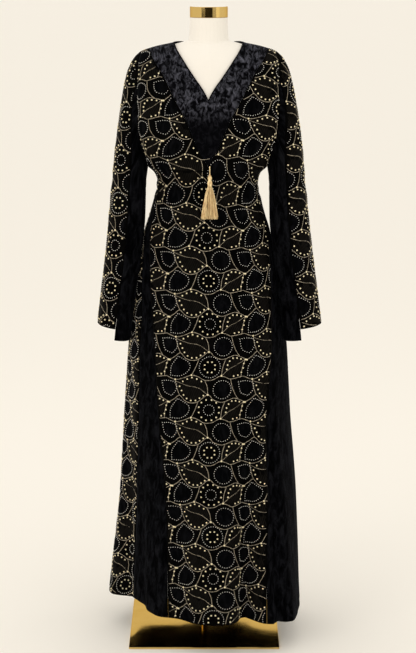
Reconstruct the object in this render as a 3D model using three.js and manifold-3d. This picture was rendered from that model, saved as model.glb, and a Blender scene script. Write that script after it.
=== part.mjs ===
import * as THREE from "three";
import Module from "manifold-3d";

// All lengths in mm, all angles in degrees. Front is -Y, up is +Z, +X is the viewer's right.
const LEAN = 0.0075; // sideways lean of the dress and the torso per mm of height
const WALL = 2; // cloth thickness as built
const SEAM = 0.15; // half of the space left between two sewn edges
const ARMPIT_Z = 1230;
const ARMPIT_ANGLE = 86; // where the front and back edges meet the armhole
const ARC_POWER = 0.8; // roundness of the bodice from chest to shoulder
const BULGE = 62; // how far the armhole edge stands forward of the shoulder line
const BULGE_POWER = 0.7; // fullness of that edge from chest to shoulder
const EDGE_INSET = 0.22; // half of the space between a cut edge and the piece set into it
const PLATE = { side: 389, thick: 5, corner: 3, bevel: 0.5 };
const POLE = { radius: 9.5, top: 869.7 };
const CAP = { radius: 48, bottom: 1606.3, height: 27, rim: 3, recess: 2 };
const TORSO_BOTTOM = 870;
const NECK_TOP = 1606;

// Body rings: half width, front depth, back depth and roundness at each height.
const RING_COLUMNS = ["z", "half", "front", "back", "power"];
const RINGS = [
  [60, 253, 238, 222, 2.1],
  [120, 248, 234, 220, 2.1],
  [200, 242, 228, 216, 2.1],
  [320, 233, 219, 208, 2.1],
  [440, 225, 210, 203, 2.1],
  [560, 217, 201, 198, 2.12],
  [670, 211, 190, 190, 2.15],
  [770, 205, 178, 180, 2.15],
  [860, 194, 164, 166, 2.15],
  [940, 183, 151, 151, 2.2],
  [1010, 172, 140, 137, 2.2],
  [1066, 161, 130, 124, 2.2],
  [1110, 147, 120, 111, 2.2],
  [1150, 136, 110, 99, 2.2],
  [1172, 129.5, 106, 95, 2.2],
  [1196, 128.5, 106, 94, 2.2],
  [1218, 137, 118, 101, 2.2],
  [1230, 152, 127, 106, 2.3],
];

// Sway: how far the skirt hangs to the viewer's right at each height.
const SWAY = [
  [60, 2.5],
  [150, 4],
  [262, 7],
  [370, 9],
  [480, 7],
  [590, 4.5],
  [750, 4],
  [940, 1],
  [1066, 0],
];

// Seams: angle from the front centre at each height, left ones negative.
const SEAM_COLUMNS = ["z", "frontLeft", "backLeft", "frontRight", "backRight"];
const SEAMS = [
  [60, -27.3, -73, 34, 94],
  [230, -29.4, -70.5, 35.4, 94],
  [400, -32.4, -67, 38.3, 94],
  [650, -40.1, -60.5, 46.2, 94],
  [830, -48, -61, 57.5, 94],
  [1066, -67, -78, 73, 94],
  [1150, -79, -86, 79, 93],
  [1196, -83, -90, 83, 93],
  [1230, -86, -94, 86, 94],
];

// Folds: how far the hem stands out from the smooth ring at each angle.
const FOLDS = [
  [-180, 14],
  [-160, -16],
  [-140, 16],
  [-120, -14],
  [-98, 8],
  [-88, -4],
  [-76, -56],
  [-58, -58],
  [-44, -42],
  [-33, -30],
  [-22, -40],
  [-12, -22],
  [-4, -4],
  [6, 4],
  [14, 10],
  [19, -3],
  [25, -30],
  [29, -33],
  [33, 30],
  [37, 42],
  [43, 22],
  [48, 46],
  [58, 28],
  [74, 3],
  [96, -4],
  [118, 18],
  [140, -16],
  [160, 18],
  [180, 14],
];
const FOLD_BOTTOM = 80; // folds stand out in full here
const FOLD_TOP = 900; // and have died away here
const FOLD_POWER = 1.45;

// Hem height at each angle.
const HEM = [
  [-180, 82],
  [-90, 88],
  [-66, 94],
  [-40, 84],
  [0, 80],
  [26, 84],
  [48, 76],
  [90, 86],
  [180, 82],
];

// Shoulder height and armhole width.
const SHOULDER = [
  [0, 1566],
  [0.36, 1551],
  [0.54, 1543],
  [0.76, 1535],
  [0.93, 1526],
  [1, 1521],
];
const ARMHOLE = [
  [1230, 152],
  [1262, 158],
  [1300, 169],
  [1350, 176],
  [1430, 178],
  [1490, 177],
  [1522, 172],
];

// Edges cut in the bodice: half width at each arc angle (0 at the chest, 90 on the shoulder).
const YOKE_EDGE = [
  [1.04, 0],
  [6, 25],
  [13.2, 44],
  [19.5, 59],
  [27.1, 79],
  [35.9, 97],
  [46.1, 114],
  [58.6, 133],
  [74, 146],
  [90, 152],
];
const NECK_EDGE = [
  [26.3, 0],
  [31.9, 13.5],
  [39.8, 34.5],
  [49.2, 54.5],
  [61.2, 73],
  [71.9, 82.5],
  [90, 89],
];
const BAND_EDGE = [
  [47.1, 0],
  [49, 40],
  [55, 80],
  [66, 120],
  [78, 142],
  [90, 152],
];
const BACK_NECK_EDGE = [
  [63.2, 0],
  [66, 30],
  [73, 54],
  [80.9, 73],
  [90, 89],
];

// Rows of each piece.
const BODY_ROWS = [
  1230, 1218, 1196, 1172, 1150, 1110, 1066, 1010, 940, 860, 770, 670, 560, 440,
  320, 200,
];
const FRONT_ARC = [
  0, 1.04, 4.05, 8.2, 12.8, 19.2, 26.3, 34.1, 42.4, 51.3, 61.2, 70.7, 80, 90,
];
const BACK_ARC = [
  0, 1.5, 4, 8.2, 12.8, 19.2, 26.3, 34.1, 40.5, 47.1, 55, 63.2, 70.5, 79, 90,
];
const YOKE_TIP_ROW = 1;
const NECK_TIP_ROW = 6;
const BAND_TIP_ROW = 9;
const BACK_NECK_ROW = 11;
const SLEEVE_SEAM_ROW = 8;
// Columns of faces across half a panel, a gore and half a collar piece.
const HALF_FRONT = 13;
const HALF_BACK = 14;
const GORE = 8;
const HALF_COLLAR = 5;
// The lowest point of a collar piece: how far above its notch it starts, and its half width there.
const YOKE_TIP = { lift: 0.3, nudge: 0 };
const BAND_TIP = { lift: 0.26, nudge: 0.2 };
const TIP_HALF = 1.3;

// Sleeve rings: outer and inner edge, half depth, and how far the armhole shape has given way.
const SLEEVE_COLUMNS = ["outX", "outZ", "inX", "inZ", "depth", "blend"];
const SLEEVE = [
  [172, 1521, 152, 1230, 62, 0],
  [181, 1513, 152.3, 1228, 63, 0.1],
  [189, 1504, 152.6, 1225.5, 64, 0.2],
  [197, 1490, 153, 1223, 65, 0.32],
  [204, 1474, 153.4, 1220, 66, 0.45],
  [211, 1446, 153.9, 1216.5, 66, 0.6],
  [218, 1404, 154.4, 1213, 66, 0.75],
  [224.5, 1352, 154.9, 1209, 65, 0.88],
  [230, 1306, 155.5, 1204, 64, 0.96],
  [235, 1262, 156, 1198, 63, 1],
  [238, 1222, 156.5, 1190, 62, 1],
  [242, 1178, 157, 1176, 62, 1],
  [247, 1138, 157.5, 1138, 62, 1],
  [251.5, 1098, 158.5, 1098, 63, 1],
  [256, 1056, 162, 1056, 64, 1],
  [261, 1012, 166.5, 1012, 65, 1],
  [267.5, 958, 173, 958, 66, 1],
  [276, 894, 182, 892, 68, 1],
  [284.5, 831, 192, 818, 70, 1],
  [287.5, 804, 195, 788, 70, 1],
];
const SLEEVE_FORWARD = 34; // how far the sleeve hangs in front of the shoulder line, at a full drop
const SLEEVE_DROP = 700; // height below the shoulder at which the drop is full
const UPPER_LAST = 18; // the upper sleeve stops one ring before the under sleeve
// How much wider than the table each arm hangs, from below the shoulder and at the cuff.
const ARM_WIDER = { left: 2, right: 7, from: 1470, over: 150 };
const CUFF_WIDER = { left: -7, right: 3, from: 1180, over: 340 };
const SLEEVE_ROUND = 0.85; // roundness of the hanging sleeve from front to back
const SLEEVE_FLAT = 4; // half width of the sleeve's flat inner edge
const ARM_CLEAR = 0.6; // room between armhole and sleeve
const BODY_CLEAR = 1.6; // more room where the sleeve hangs beside the body
const BODY_CLEAR_OVER = 30; // height in which that room opens

// Torso below the chest; above it the torso follows the bodice from inside.
const TORSO_COLUMNS = ["z", "half", "front", "back"];
const TORSO = [
  [870, 148, 96, 112],
  [950, 158, 102, 122],
  [1030, 144, 94, 110],
  [1120, 117, 86, 84],
  [1180, 116, 92, 84],
  [1262, 138, 118, 98],
];
const TORSO_BLEND = 1262; // torso sections follow the bodice above this height
const TORSO_SIDE = 158; // half width at the flat armhole ends
const TORSO_GAP = 4; // inset from the outside of the cloth
const TORSO_LIFT = 0.5; // more inset below the shoulders
const TORSO_GROWS = 60; // height in which the torso takes over the bodice's form
const TORSO_POWER = 2.2;
const TORSO_SHELL_TOP = 1560; // no bodice lies over the torso above this height
const TORSO_AROUND = 32;
const TORSO_ROWS = [
  870, 910, 950, 990, 1030, 1075, 1120, 1150, 1180, 1220, 1262, 1310, 1360, 1410, 1450, 1480,
  1500, 1512, 1521, 1527, 1532, 1537, 1543, 1549, 1558, 1574, 1606,
];
const SIDE_POWER = 14; // sharpness of the corner at the flat armhole ends
const NECK_POWER = 20; // sharpness of the corner between shoulder and neck
const NECK_BASE = 1528; // the neck rises from the shoulders above this height
const NECK = [
  [1528, 52],
  [1546, 51.5],
  [1558, 50],
  [1574, 48.7],
  [1606, 48],
];

const TASSEL = {
  x: 5,
  top: 1243,
  cordRadius: 1.4,
  headTop: 1221,
  headBottom: 1196,
  headRadius: 6.6,
  bottom: 1110,
  sides: 12,
  off: 0.4, // room between the cord and the cloth
};
// Strands in each round of the tassel, and the radius of that round at the head and at the end.
const TASSEL_ROUNDS = [
  { strands: 15, root: 5, end: 21 },
  { strands: 9, root: 3.2, end: 13 },
  { strands: 4, root: 1.4, end: 5 },
];
const STRAND = { half: 0.62, wider: 1.15, spread: 0.8, uneven: 5, lean: 5, flat: 0.42 };

const rad = Math.PI / 180;

// Smooth reading of a table whose first column is the key.
function read(table, key, column = 1) {
  const last = table.length - 1;
  if (key <= table[0][0]) return table[0][column];
  if (key >= table[last][0]) return table[last][column];
  let i = 0;
  while (table[i + 1][0] < key) i++;
  const slope = (j) => {
    if (j < 1 || j > last - 1) return null;
    const before = (table[j][column] - table[j - 1][column]) / (table[j][0] - table[j - 1][0]);
    const after = (table[j + 1][column] - table[j][column]) / (table[j + 1][0] - table[j][0]);
    return before * after <= 0 ? 0 : (2 * before * after) / (before + after);
  };
  const span = table[i + 1][0] - table[i][0];
  const plain = (table[i + 1][column] - table[i][column]) / span;
  const m0 = slope(i) ?? plain;
  const m1 = slope(i + 1) ?? plain;
  const t = (key - table[i][0]) / span;
  return (
    (2 * t ** 3 - 3 * t ** 2 + 1) * table[i][column] +
    (t ** 3 - 2 * t ** 2 + t) * span * m0 +
    (3 * t ** 2 - 2 * t ** 3) * table[i + 1][column] +
    (t ** 3 - t ** 2) * span * m1
  );
}
const ring = (z, name) => read(RINGS, z, RING_COLUMNS.indexOf(name));
const seam = (z, name) => read(SEAMS, z, SEAM_COLUMNS.indexOf(name));
const sway = (z) => read(SWAY, z);
const clamp = (value) => Math.min(1, Math.max(0, value));
const turn = (angle) => ((((angle + 180) % 360) + 360) % 360) - 180;

// Distance from the axis to the smooth oval in one direction.
function oval(angle, half, depth, power) {
  const s = Math.abs(Math.sin(angle * rad)) / half;
  const c = Math.abs(Math.cos(angle * rad)) / depth;
  return (s ** power + c ** power) ** (-1 / power);
}
function bodyRadius(angle, z) {
  const way = turn(angle);
  const depth = Math.abs(way) < 90 ? ring(z, "front") : ring(z, "back");
  const smooth = oval(way, ring(z, "half"), depth, ring(z, "power"));
  const low = Math.max(0, (FOLD_TOP - z) / (FOLD_TOP - FOLD_BOTTOM));
  return smooth + read(FOLDS, way) * low ** FOLD_POWER;
}
function bodyPoint(angle, z) {
  const r = bodyRadius(angle, z);
  return [r * Math.sin(angle * rad) + LEAN * z + sway(z), -r * Math.cos(angle * rad), z];
}
const hemHeight = (angle) => read(HEM, turn(angle));

// Bodice: an arc from the chest ring over the shoulder at a share of the width.
function bodicePoint(side, share, arc) {
  const s = Math.abs(share);
  const base = ring(ARMPIT_Z, side < 0 ? "front" : "back");
  const power = ring(ARMPIT_Z, "power");
  const depth = base * Math.max(0, 1 - s ** power) ** (1 / power);
  const rise = Math.sin(arc * rad) ** ARC_POWER;
  const z = ARMPIT_Z + (read(SHOULDER, s) - ARMPIT_Z) * rise;
  const bulge = BULGE * s ** 3 * Math.max(0, 4 * rise * (1 - rise)) ** BULGE_POWER;
  const drawn = depth * Math.max(0, Math.cos(arc * rad)) ** ARC_POWER;
  const y = drawn + bulge + SEAM * Math.sin(arc * rad);
  return [share * read(ARMHOLE, z) + LEAN * z, side * y, z];
}
function shareOfAngle(angle) {
  const r = oval(angle, ring(ARMPIT_Z, "half"), ring(ARMPIT_Z, "front"), ring(ARMPIT_Z, "power"));
  return (r * Math.sin(angle * rad)) / ring(ARMPIT_Z, "half");
}
const EDGE_SHARE = shareOfAngle(ARMPIT_ANGLE);

// Sleeve: rings that swing down from the armhole and then hang.
function sleevePoint(hand, row, side, arc) {
  const col = (name) => {
    const c = SLEEVE_COLUMNS.indexOf(name);
    const i = Math.min(Math.floor(row), SLEEVE.length - 2);
    return SLEEVE[i][c] + (SLEEVE[i + 1][c] - SLEEVE[i][c]) * (row - i);
  };
  const [ex, ey, ez] = bodicePoint(side, EDGE_SHARE, arc);
  const start = SLEEVE[0];
  const dx0 = start[0] - start[2];
  const dz0 = start[1] - start[3];
  const span0 = Math.hypot(dx0, dz0);
  const fx = ex - LEAN * ez - start[2];
  const fz = ez - start[3];
  const along0 = (fx * dx0 + fz * dz0) / span0 ** 2;
  const off0 = (fx * dz0 - fz * dx0) / span0;
  const dx = col("outX") - col("inX");
  const dz = col("outZ") - col("inZ");
  const span = Math.hypot(dx, dz);
  const u = arc / 90;
  const blend = col("blend");
  const along = along0 + (0.5 - 0.5 * Math.cos(Math.PI * u) - along0) * blend;
  const off = off0 * (1 - blend);
  const drop = clamp((SLEEVE[0][1] - col("outZ")) / SLEEVE_DROP);
  const wide = col("depth") * Math.sin(Math.PI * u) ** SLEEVE_ROUND + SLEEVE_FLAT * (1 - u) + SEAM;
  const y0 = Math.abs(ey);
  let y = side * (y0 + (wide - y0) * blend) - SLEEVE_FORWARD * drop;
  let x = col("inX") + dx * along + (off * dz) / span;
  const z = col("inZ") + dz * along - (off * dx) / span;
  const word = hand < 0 ? "left" : "right";
  const armWider = ARM_WIDER[word] * clamp((ARM_WIDER.from - z) / ARM_WIDER.over);
  const cuffWider = CUFF_WIDER[word] * Math.max(0, (CUFF_WIDER.from - z) / CUFF_WIDER.over);
  x += (armWider + cuffWider) * along;
  if (row > 0 && z < ARMPIT_Z) {
    // beside the body the sleeve keeps clear of it
    const middle = hand * sway(z);
    const angle = Math.atan2(hand * (x - middle), -y) / rad;
    const least = bodyRadius(angle, z) + ARM_CLEAR + BODY_CLEAR * clamp((ARMPIT_Z - z) / BODY_CLEAR_OVER);
    const push = Math.max(1, least / Math.hypot(x - middle, y));
    x = middle + (x - middle) * push;
    y *= push;
  }
  return [hand * (x + ARM_CLEAR) + LEAN * z, y, z];
}

// Outward direction of a surface given by a function of two numbers.
function outward(surface, a, b, stepA, stepB, flip) {
  const at = (u, v) => new THREE.Vector3(...surface(u, v));
  const p = at(a + stepA, b).sub(at(a - stepA, b));
  const q = at(a, b + stepB).sub(at(a, b - stepB));
  return p.cross(q).normalize().multiplyScalar(flip);
}

// One closed cloth wall gathered from grids of outer points and directions.
class Cloth {
  constructor() {
    this.points = [];
    this.normals = [];
    this.known = new Map();
    this.faces = [];
  }
  vertex([point, normal]) {
    const key = point.map((v) => Math.round(v * 500)).join();
    if (!this.known.has(key)) {
      this.known.set(key, this.points.length);
      this.points.push(point);
      this.normals.push(normal.clone());
    }
    return this.known.get(key);
  }
  grid(rows) {
    const ids = rows.map((r) => r.map((v) => this.vertex(v)));
    for (let i = 0; i + 1 < ids.length; i++)
      for (let j = 0; j + 1 < ids[i].length; j++) {
        const [a, b] = [ids[i][j], ids[i][j + 1]];
        const [d, c] = [ids[i + 1][j], ids[i + 1][j + 1]];
        this.face(a, b, c);
        this.face(a, c, d);
      }
  }
  face(a, b, c) {
    if (a !== b && b !== c && c !== a) this.faces.push([a, b, c]);
  }
  solid(wall) {
    const n = this.points.length;
    const inner = this.points.map((p, i) => p.map((v, k) => v - wall * this.normals[i].getComponent(k)));
    const at = [...this.points.flat(), ...inner.flat()];
    const open = new Map();
    for (const [a, b, c] of this.faces)
      for (const [s, e] of [[a, b], [b, c], [c, a]]) {
        if (open.has(e + "," + s)) open.delete(e + "," + s);
        else open.set(s + "," + e, [s, e]);
      }
    const index = [];
    for (const [a, b, c] of this.faces) index.push(a, b, c, n + a, n + c, n + b);
    // both sides of a seam split their edge faces the same way
    for (const [s, e] of open.values()) {
      if (this.points[s][2] < this.points[e][2]) index.push(s, n + s, n + e, s, n + e, e);
      else index.push(s, n + s, e, e, n + s, n + e);
    }
    const made = new THREE.BufferGeometry();
    made.setAttribute("position", new THREE.Float32BufferAttribute(at, 3));
    made.setIndex(index);
    return made;
  }
}

const group = new THREE.Group();
function add(name, geometry, color, roughness, metalness = 0) {
  geometry.computeVertexNormals();
  const mesh = new THREE.Mesh(geometry, new THREE.MeshStandardMaterial({ color, roughness, metalness }));
  mesh.name = name;
  group.add(mesh);
  return mesh;
}
const VELVET = [0x0c0d12, 0.7];
const EMBROIDERED = [0x16130f, 0.75];
const CREAM = [0xeee4d2, 0.8];
const GOLD = [0xc39a4c, 0.15, 1];
const GOLD_THREAD = [0xcba25c, 0.55];

const HEM_ROW = BODY_ROWS.length; // the row below the last listed one follows the hem
const rowHeight = (row, angle) => (row < HEM_ROW ? BODY_ROWS[row] : hemHeight(angle));
const within = (value, least, most) => Math.max(least, Math.min(most, value));

// Vertices with their outward directions, which are taken over a small step to each side.
const STEP = { angle: 0.4, height: 0.5, share: 0.0012, arc: 1, row: 0.04 };
function bodyVertex(angle, row) {
  const z = rowHeight(row, angle);
  const level = Math.min(z, ARMPIT_Z - 1.2 * STEP.height);
  return [bodyPoint(angle, z), outward(bodyPoint, angle, level, STEP.angle, STEP.height, 1)];
}
const arcWithin = (arc) => within(arc, 1.2 * STEP.arc, 90 - 1.2 * STEP.arc);
function bodiceVertex(side, share, arc) {
  const surface = (s, a) => bodicePoint(side, s, a);
  const most = 1 - 1.25 * STEP.share;
  const s = within(share, -most, most);
  const normal = outward(surface, s, arcWithin(arc), STEP.share, STEP.arc, side < 0 ? 1 : -1);
  if (arc === 90) normal.y = 0;
  return [bodicePoint(side, share, arc), normal.normalize()];
}
// Half width of the bodice at an arc, for turning a half width into a share.
const bodiceHalf = (side, arc) => read(ARMHOLE, bodicePoint(side, 0.5, arc)[2]);
// Each seam's edge stands back by this much, as an angle, at its own height.
const seamShift = (angle, z) => (SEAM * 1.1) / bodyRadius(angle, z) / rad;

// Front and back panel: each in two halves that share the centre line below its notch.
function panel({ side, columns, left, right, arcs, notchRow, notch }) {
  const cloth = new Cloth();
  for (const half of [-1, 1]) {
    const rows = [];
    for (let row = HEM_ROW; row >= 0; row--) {
      const z = rowHeight(row, 0);
      const middle = (left(z) + right(z)) / 2;
      const edge = half < 0 ? left(z) : right(z);
      const line = [];
      for (let j = 0; j <= columns; j++) {
        const shift = j === columns ? half * seamShift(edge, z) : 0;
        line.push(bodyVertex(middle + (edge - middle) * (j / columns) - shift, row));
      }
      rows.push(line);
    }
    for (let k = 1; k < arcs.length; k++) {
      const arc = arcs[k];
      const inner = k > notchRow ? (read(notch, arc) + EDGE_INSET) / bodiceHalf(side, arc) : 0;
      const line = [];
      for (let j = 0; j <= columns; j++) {
        const base = shareOfAngle((ARMPIT_ANGLE * j) / columns) / EDGE_SHARE;
        const share = inner + (EDGE_SHARE - inner) * base;
        line.push(bodiceVertex(side, (side < 0 ? half : -half) * share, arc));
      }
      rows.push(line);
    }
    cloth.grid(rows.map((r) => (half > 0 ? r : [...r].reverse())));
  }
  return cloth.solid(WALL);
}
const frontPanel = panel({
  side: -1,
  columns: HALF_FRONT,
  left: (z) => seam(z, "frontLeft"),
  right: (z) => seam(z, "frontRight"),
  arcs: FRONT_ARC,
  notchRow: YOKE_TIP_ROW,
  notch: YOKE_EDGE,
});
add("front_panel", frontPanel, ...EMBROIDERED);
const backPanel = panel({
  side: 1,
  columns: HALF_BACK,
  left: (z) => seam(z, "backRight"),
  right: (z) => 360 + seam(z, "backLeft"),
  arcs: BACK_ARC,
  notchRow: BAND_TIP_ROW,
  notch: BAND_EDGE,
});
add("back_panel", backPanel, ...EMBROIDERED);

// Side gores, between the panels from armpit to hem.
for (const [name, from, to] of [
  ["side_gore_left", "backLeft", "frontLeft"],
  ["side_gore_right", "frontRight", "backRight"],
]) {
  const cloth = new Cloth();
  const rows = [];
  for (let row = HEM_ROW; row >= 0; row--) {
    const z = rowHeight(row, 0);
    const shift = seamShift(seam(z, from), z);
    const start = seam(z, from) + shift;
    const width = seam(z, to) - shift - start;
    const line = [];
    for (let j = 0; j <= GORE; j++) line.push(bodyVertex(start + (width * j) / GORE, row));
    rows.push(line);
  }
  cloth.grid(rows);
  add(name, cloth.solid(WALL), ...VELVET);
}

// Yoke and neck band: a bodice piece between two edges, whole below the inner edge's lowest row.
function collar({ side, arcs, firstRow, openRow, outerEdge, innerEdge, tip }) {
  const cloth = new Cloth();
  for (const half of [-1, 1]) {
    const rows = [];
    for (let k = firstRow; k < arcs.length; k++) {
      const first = k === firstRow;
      const arc = first ? arcs[k] + tip.lift : arcs[k];
      const scale = bodiceHalf(side, arc);
      const inner = k > openRow ? read(innerEdge, arc) / scale : 0;
      const outer = (first ? TIP_HALF : read(outerEdge, arc - tip.nudge) - EDGE_INSET) / scale;
      const line = [];
      for (let j = 0; j <= HALF_COLLAR; j++) {
        const share = inner + ((outer - inner) * j) / HALF_COLLAR;
        line.push(bodiceVertex(side, half * share, arc));
      }
      rows.push(line);
    }
    cloth.grid(rows.map((r) => ((half > 0) === (side < 0) ? r : [...r].reverse())));
  }
  return cloth.solid(WALL);
}
const frontYoke = collar({
  side: -1,
  arcs: FRONT_ARC,
  firstRow: YOKE_TIP_ROW,
  openRow: NECK_TIP_ROW,
  outerEdge: YOKE_EDGE,
  innerEdge: NECK_EDGE,
  tip: YOKE_TIP,
});
add("front_yoke", frontYoke, ...VELVET);
const neckBand = collar({
  side: 1,
  arcs: BACK_ARC,
  firstRow: BAND_TIP_ROW,
  openRow: BACK_NECK_ROW,
  outerEdge: BAND_EDGE,
  innerEdge: BACK_NECK_EDGE,
  tip: BAND_TIP,
});
add("back_neck_band", neckBand, ...VELVET);

// Sleeves: the embroidered upper piece and the velvet piece under it, each a run of (side, arc)
// ways round the armhole, ringed down to its cuff.
const ways = (side, arcs) => arcs.map((arc) => [side, arc]);
const UPPER_WAYS = [
  ...ways(-1, FRONT_ARC.slice(SLEEVE_SEAM_ROW)),
  ...ways(1, BACK_ARC.slice(SLEEVE_SEAM_ROW, -1).reverse()),
];
const UNDER_WAYS = [
  ...ways(1, BACK_ARC.slice(0, SLEEVE_SEAM_ROW + 1).reverse()),
  ...ways(-1, FRONT_ARC.slice(0, SLEEVE_SEAM_ROW + 1)),
];
function sleeveVertex(hand, row, side, arc) {
  const surface = (r, a) => sleevePoint(hand, r, side, a);
  const r = within(row, 1.25 * STEP.row, SLEEVE.length - 1 - 1.25 * STEP.row);
  const normal = outward(surface, r, arcWithin(arc), STEP.row, STEP.arc, -hand * side);
  if (arc === 90) normal.y = 0;
  // the wall keeps clear of the armhole edge
  if (row === 0) normal.x = hand * Math.min(0, hand * normal.x);
  return [sleevePoint(hand, row, side, arc), normal.normalize()];
}
function sleevePiece(hand, around, lastRow) {
  const cloth = new Cloth();
  const rows = [];
  for (let row = 0; row <= lastRow; row++) {
    const line = around.map(([side, arc]) => sleeveVertex(hand, row, side, arc));
    // both lengthwise edges stand back from the seam
    const end = line.length - 1;
    const moved = [[0, 1], [end, end - 1]].map(([edge, next]) => {
      const at = new THREE.Vector3(...line[edge][0]);
      const away = new THREE.Vector3(...line[next][0]).sub(at).normalize();
      return at.addScaledVector(away, SEAM * 1.1).toArray();
    });
    line[0] = [moved[0], line[0][1]];
    line[end] = [moved[1], line[end][1]];
    rows.push(hand > 0 ? line.reverse() : line);
  }
  cloth.grid(rows);
  return cloth.solid(WALL);
}
for (const [hand, word] of [[-1, "left"], [1, "right"]]) {
  add("sleeve_upper_" + word, sleevePiece(hand, UPPER_WAYS, UPPER_LAST), ...EMBROIDERED);
  add("sleeve_under_" + word, sleevePiece(hand, UNDER_WAYS, SLEEVE.length - 1), ...VELVET);
}

// Torso and neck: one closed stack of sections that follow the bodice from inside.
function insideBodice(angle, z, r) {
  const share = Math.abs(r * Math.sin(angle * rad)) / read(ARMHOLE, z);
  const rise = (z - ARMPIT_Z) / (read(SHOULDER, Math.min(1, share)) - ARMPIT_Z);
  if (share >= 1 || rise >= 1) return false;
  const base = ring(ARMPIT_Z, Math.cos(angle * rad) > 0 ? "front" : "back");
  const power = ring(ARMPIT_Z, "power");
  const depth = base * (1 - share ** power) ** (1 / power);
  const drawn = depth * (1 - rise ** (2 / ARC_POWER)) ** (ARC_POWER / 2);
  const bulge = BULGE * share ** 3 * (4 * rise * (1 - rise)) ** BULGE_POWER;
  return Math.abs(r * Math.cos(angle * rad)) < drawn + bulge;
}
// Largest radius inside the bodice in one direction, found by halving.
function underBodice(angle, z) {
  let inside = 0;
  let outside = 260;
  for (let i = 0; i < 26; i++) {
    const r = (inside + outside) / 2;
    if (insideBodice(angle, z, r)) inside = r;
    else outside = r;
  }
  return inside;
}
function torsoRadius(angle, z) {
  const low = Math.min(z, TORSO_BLEND);
  const depth = read(TORSO, low, TORSO_COLUMNS.indexOf(Math.cos(angle * rad) > 0 ? "front" : "back"));
  const waist = oval(angle, read(TORSO, low, TORSO_COLUMNS.indexOf("half")), depth, TORSO_POWER);
  if (z < TORSO_BLEND) return waist;
  const lift = z + TORSO_GAP + TORSO_LIFT;
  const shell = lift < TORSO_SHELL_TOP ? Math.max(0, underBodice(angle, lift) - TORSO_GAP) : 0;
  const side = TORSO_SIDE / Math.max(0.001, Math.abs(Math.sin(angle * rad)));
  const held = shell > 0 ? (shell ** -SIDE_POWER + side ** -SIDE_POWER) ** (-1 / SIDE_POWER) : 0;
  const r = waist + (held - waist) * clamp((z - TORSO_BLEND) / TORSO_GROWS);
  if (z <= NECK_BASE) return r;
  return (r ** NECK_POWER + read(NECK, z) ** NECK_POWER) ** (1 / NECK_POWER);
}
{
  const positions = [];
  for (const z of TORSO_ROWS)
    for (let j = 0; j < TORSO_AROUND; j++) {
      const angle = (360 * (j + 0.5)) / TORSO_AROUND;
      const r = torsoRadius(angle, z);
      positions.push(r * Math.sin(angle * rad) + LEAN * z, -r * Math.cos(angle * rad), z);
    }
  const bottom = positions.length / 3;
  positions.push(LEAN * TORSO_BOTTOM, 0, TORSO_BOTTOM, LEAN * NECK_TOP, 0, NECK_TOP);
  const index = [];
  for (let i = 0; i + 1 < TORSO_ROWS.length; i++)
    for (let j = 0; j < TORSO_AROUND; j++) {
      const a = i * TORSO_AROUND + j;
      const b = i * TORSO_AROUND + ((j + 1) % TORSO_AROUND);
      index.push(a, b, b + TORSO_AROUND, a, b + TORSO_AROUND, a + TORSO_AROUND);
    }
  const topRing = (TORSO_ROWS.length - 1) * TORSO_AROUND;
  for (let j = 0; j < TORSO_AROUND; j++) {
    const next = (j + 1) % TORSO_AROUND;
    index.push(bottom, next, j, bottom + 1, topRing + j, topRing + next);
  }
  const torso = new THREE.BufferGeometry();
  torso.setAttribute("position", new THREE.Float32BufferAttribute(positions, 3));
  torso.setIndex(index);
  add("form_torso", torso, ...CREAM);
}

// Turned pieces: a profile of [radius, height] turned round +Z.
const TURNED_SIDES = 32;
const CHAMFER = 0.8;
const CLEAR = 0.3; // room between the rigid pieces
function turned(profile) {
  const line = profile.map(([r, h]) => new THREE.Vector2(r, h));
  return new THREE.LatheGeometry(line, TURNED_SIDES).rotateX(Math.PI / 2);
}
{
  const { radius, bottom, height, rim, recess } = CAP;
  const floor = height - recess;
  const band = turned([
    [0, 0],
    [radius - CHAMFER, 0],
    [radius, CHAMFER],
    [radius, height - CHAMFER],
    [radius - CHAMFER, height],
    [radius - rim, height],
    [radius - rim, floor],
    [0, floor],
  ]);
  add("neck_cap_band", band.translate(LEAN * bottom, 0, bottom), ...GOLD);
  const disc = radius - rim - CLEAR;
  const top = turned([
    [0, 0],
    [disc, 0],
    [disc, recess - CHAMFER / 2],
    [disc - CHAMFER / 2, recess],
    [0, recess],
  ]);
  add("neck_cap_top", top.translate(LEAN * bottom, 0, bottom + floor + CLEAR), ...CREAM);
}
{
  const foot = PLATE.thick + CLEAR;
  const pole = turned([
    [0, foot],
    [POLE.radius, foot],
    [POLE.radius, POLE.top],
    [0, POLE.top],
  ]);
  add("pole", pole, ...GOLD);
}

// Base plate: a square with small rounded corners and a fine bevel.
{
  const half = PLATE.side / 2;
  const { corner, bevel } = PLATE;
  const inset = half - corner;
  const quarter = Math.PI / 2;
  const shape = new THREE.Shape();
  shape.moveTo(-inset, -half);
  shape.absarc(inset, -inset, corner, -quarter, 0);
  shape.absarc(inset, inset, corner, 0, quarter);
  shape.absarc(-inset, inset, corner, quarter, 2 * quarter);
  shape.absarc(-inset, -inset, corner, 2 * quarter, 3 * quarter);
  const plate = new THREE.ExtrudeGeometry(shape, {
    depth: PLATE.thick - 2 * bevel,
    bevelThickness: bevel,
    bevelSize: bevel,
    bevelOffset: -bevel,
    bevelSegments: 1,
    curveSegments: 4,
  });
  add("base_plate", plate.translate(0, 0, bevel), ...GOLD);
}

// Tassel: cord, bound head and strands, joined into one body.
const wasm = await Module();
wasm.setup();
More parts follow.
